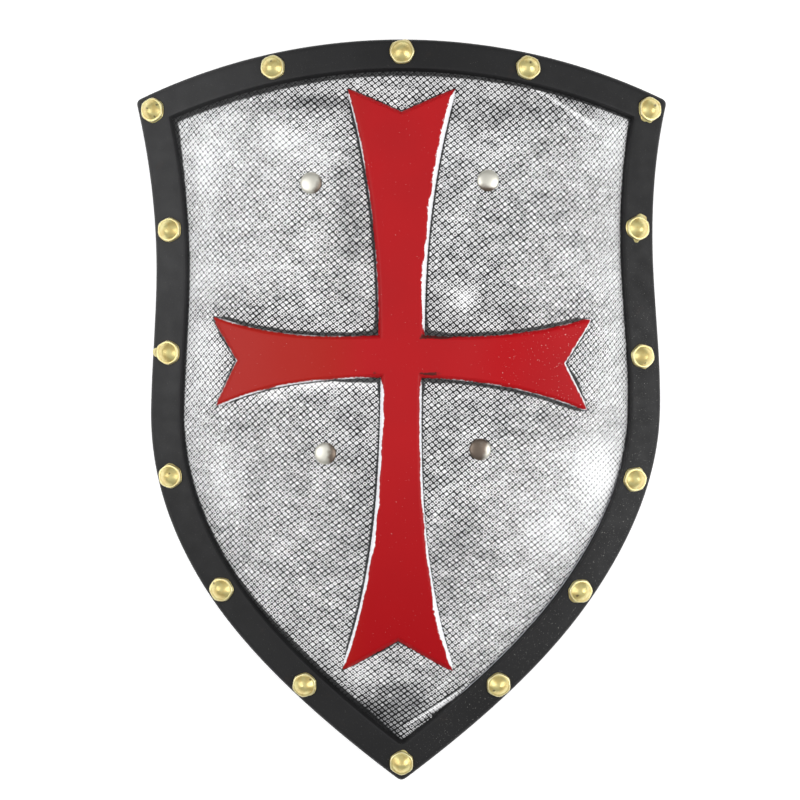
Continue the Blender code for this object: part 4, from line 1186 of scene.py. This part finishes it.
def nearest_on(line, x, y):
    """Distance of points from an open line, and the share of the line at the nearest spot."""
    steps = np.hypot(*np.diff(line, axis=0).T)
    dense = resample(line, np.linspace(0, steps.sum(), CREASE_STEPS))
    near = np.full(len(x), True)
    for values, places in ((x, line[:, 0]), (y, line[:, 1])):
        near &= (values > places.min() - CREASE_ROOM) & (values < places.max() + CREASE_ROOM)
    gap, share = np.full(len(x), 1.0), np.zeros(len(x))
    away = np.hypot(x[near, None] - dense[:, 0], y[near, None] - dense[:, 1])
    gap[near], share[near] = away.min(axis=1), away.argmin(axis=1) / (len(dense) - 1)
    return gap, share


def silver_and_light_load(outline, x, y, inset, line):
    """How much silver the brush left: the sum of soft patches, plus the tops of the creases,
    less a little beside the cross and more beside the lower end of the left border."""
    load = BASE_LOAD + soft_patches(BRUSH_AND_LIGHT_PATCHES, x, y, 1.4)
    load += 1.1 * np.clip(crease_height(x, y) / MILLIMETRE, 0, 1)
    gap = distance_to_line(np.column_stack([x, y]), line)
    # Painted shade beside the cross, with thinner brushwork there
    load -= 0.16 * np.exp(-np.maximum(gap, 0) / 0.010)
    # Painted shade beside the lower end of the left border
    by_tip = step_up(-y, 0.17, 0.24) * step_up(-x, -0.012, 0.006)
    load -= 0.75 * by_tip * np.exp(-np.maximum(inset - outline.s.border, 0) / 0.008)
    return load


FOLD_SHADOW = 0.9  # half width in mm of the dark line beside a fold


def painted_field_shade(outline, x, y, inset, line, centre):
    """Black left in the corner under the walls of the cross and the border: exp of minus the
    distance squared, wide over and under the side arms and in the four inner corners, and
    wide under the border at the top and the left. Two lines of it run beside the folds."""
    gap = np.maximum(distance_to_line(np.column_stack([x, y]), line), 0)
    up = y - centre
    beside = step_up(np.abs(x) - np.abs(up), -0.004, 0.004)
    over_arm = beside * step_up(np.abs(up), 0.010, 0.016)
    upper_left = step_up(-x, 0.010, 0.014) * step_up(up, 0.0, 0.02) * (1 - beside)
    upper_right = step_up(x, 0.010, 0.014) * step_up(up, 0.0, 0.02) * (1 - beside)
    lower_left = step_up(-x, 0.010, 0.014) * step_up(-up, 0.06, 0.10) * (1 - beside)
    ends = step_up(np.abs(x), 0.140, 0.150)
    ends += step_up(up, 0.195, 0.205) + step_up(-up, 0.235, 0.245)
    wide = 0.0010 + 0.0018 * over_arm + 0.0009 * upper_left + 0.0004 * upper_right
    wide += 0.0008 * lower_left - 0.0006 * (x > 0) * step_up(-up, 0.08, 0.14)
    wide -= 0.0018 * over_arm * step_up(-x, 0.040, 0.060) * (up < 0)
    wide *= 1 - 0.65 * np.clip(ends, 0, 1)
    inner = np.hypot(np.abs(x) - 0.022, np.abs(up) - 0.022)
    wide += 0.0016 * np.exp(-(inner / 0.010) ** 2)
    field_shade = np.exp(-(gap / wide) ** 2 * 0.7)
    inward = np.maximum(inset - outline.s.border, 0)
    foot = 0.0005 + 0.0018 * step_up(y, 0.16, 0.24) * step_up(-x, -0.14, 0.0)
    foot += 0.0008 * step_up(-x, 0.05, 0.12) + 0.0012 * step_up(y, 0.20, 0.26)
    foot += 0.0030 * step_up(-y, 0.12, 0.20) * step_up(-x, -0.01, 0.03)
    field_shade = np.maximum(field_shade, np.exp(-(inward / foot) ** 2 * 0.7))
    for fold, fold_width, fold_height in CREASES[1:]:
        away, share = nearest_on(np.array(fold) * MILLIMETRE, x, y)
        gap = (away / MILLIMETRE - fold_width) / FOLD_SHADOW - 1
        ends = np.clip(np.minimum(share, 1 - share) / 0.1, 0, 1)
        field_shade = np.maximum(field_shade, 0.75 * fold_height * ends * np.exp(-gap ** 2))
    return field_shade


def bolt_places(outline):
    """Places of the bolt heads, each at its share of the line at its own inset."""
    places = []
    for name, share, inset, _ in BOLTS:
        line = outline.inset_side(inset * MILLIMETRE)
        if name == "top":
            line = outline.top_line(inset * MILLIMETRE, line[-1, 0])
        x, y = resample(line, [line_length(line) * share])[0]
        places.append((-x if name == "left" else x, y))
    places = np.array(places)
    places[:, 0] += outline.lean(places[:, 1])
    return places


BOLT_SIDES = 72
SKIRT = 0.0001  # width of the paint round a bolt head where none ran

# Bubble holes and black blots on the bolt heads: bolt, place in mm from its middle, radius
BLOTS = (
    (10, -2.3, 0.8, 1.3), (10, 5.2, 3.8, 1.1), (10, 3.5, -5.8, 1.0), (13, 1.5, 2.5, 1.0),
    (14, -5.5, 5.5, 1.3), (1, -4.5, -4.0, 1.3), (2, -4.0, -3.0, 1.4), (4, 0.5, -5.5, 1.0),
    (6, 2.5, 2.5, 1.6), (7, 0.8, 3.6, 1.4), (15, 5.5, 5.0, 1.2), (9, -0.3, 4.4, 1.1),
)


# Rings on the flat of a bolt head: share of the way from the dome to the hexagon's edge,
# depth in mm, share of the fall toward the corners, and the values "hollow" (painted shade
# with thin gold) and "rim" (painted highlight)
BOLT_FLAT = (
    (0.10, 0.22, 0.0, 0.50, 0.0), (0.35, 0.18, 0.0, 0.25, 0.1), (0.62, 0.18, 0.2, 0.10, 0.5),
    (0.86, 0.18, 0.6, 0.00, 1.0), (1.00, 0.30, 1.0, 0.00, 0.7),
)
# Rings at its foot: share of the hexagon, spare width in mm, share of the paint's reach,
# height in mm, what spilled paint adds to it in mm, and the same two values
BOLT_SKIRT = (
    (1.008, 0.0, 0.00, 0.40, 1.1, 0.35, 0.0), (1.010, 0.1, 0.00, 0.14, 0.9, 0.35, 0.0),
    (1.010, 0.1, 0.80, 0.14, 0.6, 0.00, 0.2), (1.010, 0.1, 1.00, -0.20, 0.0, 0.20, 0.0),
    (1.010, 0.0, 0.97, -2.20, 0.0, 0.20, 0.0),
)


def bolt_shape(outline, sizes):
    """The bolt heads with the paint that ran round them. Each is a profile carried round an
    axis: a dome, a groove, a flat that widens into a hexagon (half the flats over the cosine
    of the angle from the nearest flat), a wall, and a thin skirt of paint on the border."""
    angle = np.arange(BOLT_SIDES) * math.tau / BOLT_SIDES
    sixth = math.pi / 3
    rng = np.random.default_rng(21)
    places = bolt_places(outline)
    points, faces, hollow, rim, bare = [], [], [], [], []
    for index, (x, y) in enumerate(places):
        turn = math.radians(BOLTS[index][3])
        from_corner = (angle - turn + sixth / 2) % sixth - sixth / 2
        hexagon = sizes.flats / 2 / np.cos(sixth / 2 - np.abs(from_corner))
        hexagon -= 0.0007 * np.exp(-(from_corner / 0.16) ** 2)
        uneven = 0.012 * np.sin(2 * angle + rng.uniform(0, 6))
        uneven += 0.008 * np.sin(3 * angle + rng.uniform(0, 6))
        hexagon *= 1 + uneven
        corner_share = np.clip((hexagon / (sizes.flats / 2) - 1) / 0.10, 0, 1)
        skirt = np.full(BOLT_SIDES, SKIRT)
        for bolt, direction, wide, reach in SPILLS:
            if bolt == index:
                off = (np.degrees(angle) - direction + 180) % 360 - 180
                skirt += reach * MILLIMETRE * np.exp(-(off / wide) ** 4)
        skirt *= 1 + 0.18 * np.sin(5 * angle + index)
        dome = sizes.dome_radius * (1 + 0.012 * np.sin(2 * angle + rng.uniform(0, 6)))
        dome = np.minimum(dome, hexagon - 0.0009)
        top = sizes.hexagon
        rows = []
        # The dome's steep foot gets painted shade through the value "hollow"
        for turn_up in (4, 14, 24, 34, 44, 54, 64, 73, 81, 87):
            a = math.radians(turn_up)
            rows.append((dome * math.sin(a), top - 0.0002 + sizes.dome_height * math.cos(a) ** 2.2,
                         0.45 * step_up(turn_up, 60, 86), 0.0))
        fall = 0.00025 + 0.00050 * corner_share
        for share, depth, fallen, in_hollow, on_rim in BOLT_FLAT:
            rows.append((dome + (hexagon - dome) * share, top - depth * MILLIMETRE - fall * fallen,
                         in_hollow, on_rim))
        rows.append((hexagon * 1.006, top - 0.0011 - fall, 0.15, 0.0))
        spilled = np.clip(skirt / 0.003, 0, 1) * MILLIMETRE
        for share, spare, run, level, heaped, in_hollow, on_rim in BOLT_SKIRT:
            rows.append((hexagon * share + spare * MILLIMETRE + skirt * run,
                         level * MILLIMETRE + spilled * heaped, in_hollow, on_rim))
        frame_here = outline.frame_at(x, y, outline.border_height)
        local = []
        for radius, height, _, _ in rows:
            local.append(np.column_stack([radius * np.cos(angle), radius * np.sin(angle),
                                          np.broadcast_to(height, (BOLT_SIDES,))]))
        tilt = rng.normal(0, 0.012, 2)
        local = np.vstack([[(0, 0, top + sizes.dome_height)]] + local)
        raised = local[:, 2] > 0.001
        local[raised, 2] += local[raised, 0] * tilt[0] + local[raised, 1] * tilt[1]
        start = sum(len(part) for part in points)
        points.append(moved(local, frame_here))
        ring = start + 1
        faces += fan(start, ring, BOLT_SIDES)
        faces += (grid_faces(len(rows), BOLT_SIDES, True)[:, ::-1] + ring).tolist()
        hollow.append(np.append(0.0, np.repeat([row[2] for row in rows], BOLT_SIDES)))
        rim.append(np.append(0.0, np.repeat([row[3] for row in rows], BOLT_SIDES)))
        black = np.zeros(len(local))
        for bolt, at_x, at_y, wide in BLOTS:
            if bolt == index:
                gap = np.hypot(local[:, 0] - at_x * MILLIMETRE, local[:, 1] - at_y * MILLIMETRE)
                gap /= wide * MILLIMETRE
                black = np.maximum(black, step_up(-gap, -1.0, -0.4))
        bare.append(black * 0.85)
    values = {"hollow": hollow, "rim": rim, "bare": bare}
    values = {key: np.concatenate(parts) for key, parts in values.items()}
    return np.vstack(points), faces, values


RIVET_SIDES = 48
CAP_DENT = 0.0003  # depth of the dent in the middle of a cap


def rivet_shape(outline, sizes, straps, name):
    """A rivet: a low dome on a thin rim, a shank and a flat cap, a profile carried round."""
    x, y = RIVETS[name]
    frame_here = outline.frame_at(x, y, outline.field_height)
    spot = np.array([x]), np.array([y])
    deep = float((outline.field_height(*spot) - outline.back_height(*spot))[0])
    deep *= frame_here.col[2][2]
    seat = deep + 2 * straps.seat_gap + straps.thickness + sizes.clearance
    bottom, under = sizes.clearance, -seat - sizes.cap_height
    profile = []
    for turn in (3, 15, 27, 39, 51, 63, 75, 84):
        a = math.radians(turn)
        high = sizes.rim + (sizes.head_height - sizes.rim) * math.cos(a)
        profile.append((sizes.head_radius * math.sin(a) * 0.985, bottom + high))
    profile += [(sizes.head_radius, bottom + sizes.rim), (sizes.head_radius, bottom + 0.0002),
                (sizes.head_radius - 0.0002, bottom), (sizes.shank, bottom), (sizes.shank, -seat)]
    cap = sizes.cap_radius
    profile += [(cap - 0.0002, -seat), (cap, -seat - 0.0003), (cap, under + 0.0005),
                (cap - 0.0005, under), (cap * 0.4, under), (cap * 0.33, under + CAP_DENT),
                (cap * 0.05, under + CAP_DENT)]
    ring = turned_points(profile, RIVET_SIDES)
    top = bottom + sizes.head_height
    local = np.vstack([ring, [(0, 0, top), (0, 0, under + CAP_DENT)]])
    faces = grid_faces(len(profile), RIVET_SIDES, True)[:, ::-1].tolist()
    faces += fan(len(ring), 0, RIVET_SIDES)
    faces += fan(len(ring) + 1, len(ring) - RIVET_SIDES, RIVET_SIDES, turned=True)
    return moved(local, frame_here), faces, local


STRAP_ROWS = 130
STRAP_EDGE = 5  # points on each rounded edge


def strap_shape(outline, sizes, side, sag):
    """A strap: a flat ring of section points (a rectangle with rounded edges) carried along
    the path, which follows the back at both rivets and hangs as a cubic between them."""
    (left_x, left_y), (right_x, right_y) = RIVETS[side + "_left"], RIVETS[side + "_right"]
    slope = (right_y - left_y) / (right_x - left_x)

    def row_y(x):
        return left_y + (x - left_x) * slope

    def seat(x):
        x = np.atleast_1d(x)
        return outline.back_height(x, row_y(x)) - sizes.seat_gap

    middle = (left_x + right_x) / 2
    bottom = float(seat(middle)[0]) - sag
    x = np.linspace(left_x - sizes.tab, right_x + sizes.tab, 400)
    z = seat(x)
    for rivet_x, sign in ((left_x, 1), (right_x, -1)):
        inner = rivet_x + sign * sizes.pinch
        lift = float((seat(inner + MILLIMETRE) - seat(inner - MILLIMETRE))[0]) / (2 * MILLIMETRE)
        between = ((x - inner) * sign >= 0) & ((middle - x) * sign >= 0)
        start = (inner, float(seat(inner)[0]), lift)
        z[between] = hermite(start, (middle, bottom, 0.0), x[between])
    run = np.append(0, np.cumsum(np.hypot(np.diff(x), np.diff(z))))
    at = np.linspace(0, run[-1], STRAP_ROWS)
    px, pz = np.interp(at, run, x), np.interp(at, run, z)
    path = np.column_stack([px, row_y(px), pz])
    tangent = np.gradient(path, axis=0)
    tangent /= np.linalg.norm(tangent, axis=1)[:, None]
    here = outline.frame_at(middle, float(row_y(middle)), outline.back_height)
    across = np.array(here.col[1][:3])
    normal = np.cross(tangent, across)
    normal /= np.linalg.norm(normal, axis=1)[:, None]
    half, thick = sizes.width / 2, sizes.thickness
    flat_across = np.linspace(-1, 1, 13) * (half - thick * 0.5)
    turns = np.radians(np.linspace(0, 180, STRAP_EDGE + 2)[1:-1])
    section = []
    for sign in (1, -1):
        section += [(sign * v, (sign - 1) * thick / 2) for v in flat_across]
        section += [(sign * (half - thick / 2 * (1 - math.sin(a))),
                     -thick / 2 * (1 - sign * math.cos(a))) for a in turns]
    section = np.array(section)
    grid = (path[:, None, :] + across[None, None, :] * section[None, :, :1]
            + normal[:, None, :] * section[None, :, 1:])
    count = len(section)
    points = grid.reshape(-1, 3)
    faces = grid_faces(STRAP_ROWS, count, True).tolist()
    ends = np.vstack([grid[0].mean(axis=0), grid[-1].mean(axis=0)])
    faces += fan(len(points), 0, count, turned=True)
    faces += fan(len(points) + 1, len(points) - count, count)
    lengthwise = np.repeat(at, count)
    crosswise = np.tile(section[:, 0], STRAP_ROWS)
    uv = np.column_stack([lengthwise / sizes.rib, crosswise / sizes.rib])
    uv = np.vstack([uv, [(0, 0), (at[-1] / sizes.rib, 0)]])
    return np.vstack([points, ends]), faces, uv


def add_uv(made, name, uv):
    """A UV map from a pair of numbers for each point."""
    layer = made.data.uv_layers.new(name=name)
    corners = np.empty(len(made.data.loops), dtype=np.int32)
    made.data.loops.foreach_get("vertex_index", corners)
    layer.data.foreach_set("uv", np.asarray(uv, dtype=np.float32)[corners].ravel())


def shield_outline():
    """The outline for the sizes in the scene."""
    return Outline(bpy.context.scene.shield_sizes)


# Operators

class SHIELD_OT_casting(bpy.types.Operator):
    """Make the plate with its border, edge and back"""
    bl_idname = "shield.casting"
    bl_label = "Shield Casting"

    def execute(self, context):
        outline = shield_outline()
        points, faces, kinds = plate_shape(outline)
        x, y = points[:, 0], points[:, 1]
        foot = outline.s.border
        near_foot = step_up(outline.inset(x, y), foot - MILLIMETRE, foot - 0.1 * MILLIMETRE)
        right_foot = step_up(x, 0.01, 0.06) * (0.55 + 0.45 * step_up(-y, 0.0, 0.12))
        values = {
            "silver_line": (kinds == INNER_WALL) * right_foot * near_foot,
            # Painted light: the border paler toward the upper left
            "painted_light_upper_left": 0.64 * step_up(-x, 0.02, 0.20) * step_up(y, -0.15, 0.15),
            "dusty": 0.15 + 0.85 * step_up(x, -0.05, 0.08) * step_up(-y, -0.20, 0.05),
        }
        made = mesh_object("shield_casting", points, faces, values, close=0)
        starts = np.empty(len(made.data.polygons), dtype=np.int32)
        made.data.polygons.foreach_get("loop_start", starts)
        corners = np.empty(len(made.data.loops), dtype=np.int32)
        made.data.loops.foreach_get("vertex_index", corners)
        behind = kinds[corners[starts]] == BACK
        made.data.polygons.foreach_set("material_index", behind.astype(np.int32))
        place_piece(made, ("latex", "foam"), "painted_foam", "shield_body")
        return {"FINISHED"}


class SHIELD_OT_hatch(bpy.types.Operator):
    """Make the crosshatched field"""
    bl_idname = "shield.hatch"
    bl_label = "Crosshatched Field"

    def execute(self, context):
        outline = shield_outline()
        scene = context.scene
        points, parts, values, uv = hatch_shape(outline, scene.shield_hatch, scene.shield_cross)
        faces = [face for part in parts for face in part.tolist()]
        made = mesh_object("field_crosshatch", points, faces, values, smooth=False)
        layer = made.data.uv_layers.new(name="pad")
        layer.data.foreach_set("uv", uv.astype(np.float32).ravel())
        place_piece(made, ("field",), "painted_foam", "shield_body")
        return {"FINISHED"}


class SHIELD_OT_cross(bpy.types.Operator):
    """Make the raised cross"""
    bl_idname = "shield.cross"
    bl_label = "Raised Cross"

    def execute(self, context):
        outline = shield_outline()
        sizes = context.scene.shield_cross
        points, faces, wall, silver = cross_shape(outline, sizes)
        x, y = points[:, 0], points[:, 1]
        values = {
            "wall": wall,
            "wall_silver": silver,
            # Painted shade toward the bottom of the cross
            "shaded_toward_bottom": step_up(-y, -0.02, 0.22),
            "dull": step_up(-x, 0.02, 0.07),
            "dusty": step_up(x, 0.05, 0.09),
            "smear": soft_patches(SMEARS, x, y - sizes.centre),
        }
        made = mesh_object("raised_cross", points, faces, values, close=0.01 * MILLIMETRE)
        place_piece(made, ("cross",), "painted_foam", "shield_body")
        return {"FINISHED"}


class SHIELD_OT_bolts(bpy.types.Operator):
    """Make the sixteen bolt heads and the paint round them"""
    bl_idname = "shield.bolts"
    bl_label = "Bolt Heads"

    def execute(self, context):
        outline = shield_outline()
        points, faces, values = bolt_shape(outline, context.scene.shield_fixings)
        made = mesh_object("bolt_heads", points, faces, values)
        place_piece(made, ("gold",), "painted_foam", "shield_body")
        return {"FINISHED"}


class SHIELD_OT_rivets(bpy.types.Operator):
    """Make the four rivets"""
    bl_idname = "shield.rivets"
    bl_label = "Rivets"

    def execute(self, context):
        outline = shield_outline()
        sizes, straps = context.scene.shield_fixings, context.scene.shield_straps
        for name in RIVETS:
            points, faces, local = rivet_shape(outline, sizes, straps, name)
            # Painted dark brown reflection along one side of the head
            direction, stop = RIVET_DARK_REFLECTIONS[name]
            turn = math.radians(direction)
            side = local[:, 0] * math.cos(turn) + local[:, 1] * math.sin(turn)
            side = step_up(side / sizes.head_radius - stop, -0.5, 0.5) * (local[:, 2] > 0)
            made = mesh_object("nickel_rivet_" + name, points, faces, {"painted_reflection": side})
            made.data.set_sharp_from_angle(angle=SHARP_EDGE)
            place_piece(made, ("nickel",), "nickel_steel", "rivet_" + name)
        return {"FINISHED"}


class SHIELD_OT_straps(bpy.types.Operator):
    """Make the two webbing straps"""
    bl_idname = "shield.straps"
    bl_label = "Straps"

    def execute(self, context):
        outline = shield_outline()
        sizes = context.scene.shield_straps
        for side, sag in (("upper", sizes.upper_sag), ("lower", sizes.lower_sag)):
            points, faces, uv = strap_shape(outline, sizes, side, sag)
            made = mesh_object("webbing_strap_" + side, points, faces)
            add_uv(made, "weave", uv)
            made.data.set_sharp_from_angle(angle=SHARP_EDGE)
            place_piece(made, ("webbing",), "black_webbing", "strap_" + side)
        return {"FINISHED"}


class SHIELD_OT_stage(bpy.types.Operator):
    """Make the floor, the lights and the camera"""
    bl_idname = "shield.stage"
    bl_label = "Stage"

    def execute(self, context):
        scene = context.scene
        half = 6.0
        floor = mesh_object("floor", [(-half, -half, 0), (half, -half, 0), (half, half, 0),
                                      (-half, half, 0)], [(0, 1, 2, 3)])
        floor.data.materials.append(finish("backdrop"))
        world = bpy.data.worlds.new("studio")
        world.use_nodes = True
        add = node_adder(world.node_tree, "Background")
        upward = add("SeparateXYZ", {0: add("TexCoord", {})}, 2)
        rise = add("MapRange", {0: upward, 1: 0.25, 2: 0.96, 3: 0.26, 4: 0.74}, **SMOOTH)
        add(None, {0: (1, 1, 1), 1: rise})
        scene.world = world
        lit_spot = (0, 0, 0.03)
        for name, place, size, power in (
                ("light_right", (1.9, -0.25, 1.4), 2.0, 34),
                ("light_left", (-1.75, 0.0, 1.6), 2.3, 28),
                ("light_top", (-0.2, 1.9, 1.7), 2.2, 12)):
            data = bpy.data.lights.new(name, "AREA")
            data.shape = "DISK"
            data.size = size
            data.energy = power
            light = bpy.data.objects.new(name, data)
            light.location = place
            aim = Vector(lit_spot) - Vector(place)
            light.visible_glossy = name != "light_top"
            light.rotation_euler = aim.to_track_quat("-Z", "Y").to_euler()
            scene.collection.objects.link(light)
        camera_data = bpy.data.cameras.new("camera")
        camera_data.lens = 300
        camera_data.sensor_width = 36
        camera = bpy.data.objects.new("camera", camera_data)
        shown_width, shown_middle = 0.649, (-0.0012, 0.0089)
        middle_height = 0.022
        distance = shown_width * camera_data.lens / camera_data.sensor_width
        camera.location = (*shown_middle, middle_height + distance)
        scene.collection.objects.link(camera)
        scene.camera = camera
        scene.view_settings.view_transform = "Standard"
        return {"FINISHED"}


class SHIELD_PT_panel(bpy.types.Panel):
    """Sizes, colours and pieces of the shield"""
    bl_idname = "SHIELD_PT_panel"
    bl_label = "Knight Shield"
    bl_space_type = "VIEW_3D"
    bl_region_type = "UI"
    bl_category = "Shield"

    def draw(self, context):
        for name, kind in GROUPS.items():
            group = getattr(context.scene, name)
            column = self.layout.column(heading=kind.__doc__)
            for key in kind.__annotations__:
                column.prop(group, key)
        for operator in OPERATORS:
            self.layout.operator(operator.bl_idname)


GROUPS = {
    "shield_sizes": ShieldSizes,
    "shield_cross": CrossSizes,
    "shield_hatch": HatchSizes,
    "shield_fixings": FixingSizes,
    "shield_straps": StrapSizes,
    "shield_colours": PaintColours,
}
OPERATORS = (SHIELD_OT_casting, SHIELD_OT_hatch, SHIELD_OT_cross, SHIELD_OT_bolts,
             SHIELD_OT_rivets, SHIELD_OT_straps, SHIELD_OT_stage)


def register():
    """Registers the groups, operators and panel."""
    for name, kind in GROUPS.items():
        bpy.utils.register_class(kind)
        setattr(bpy.types.Scene, name, PointerProperty(type=kind))
    for kind in (*OPERATORS, SHIELD_PT_panel):
        bpy.utils.register_class(kind)


def unregister():
    """Takes them away again."""
    for kind in (SHIELD_PT_panel, *reversed(OPERATORS)):
        bpy.utils.unregister_class(kind)
    for name, kind in reversed(GROUPS.items()):
        delattr(bpy.types.Scene, name)
        bpy.utils.unregister_class(kind)


def main():
    """Registers the classes, makes every piece and the stage, and keeps both boxes."""
    register()
    bpy.ops.shield.casting()
    bpy.ops.shield.hatch()
    bpy.ops.shield.cross()
    bpy.ops.shield.bolts()
    bpy.ops.shield.rivets()
    bpy.ops.shield.straps()
    bpy.ops.shield.stage()


if __name__ == "__main__":
    main()
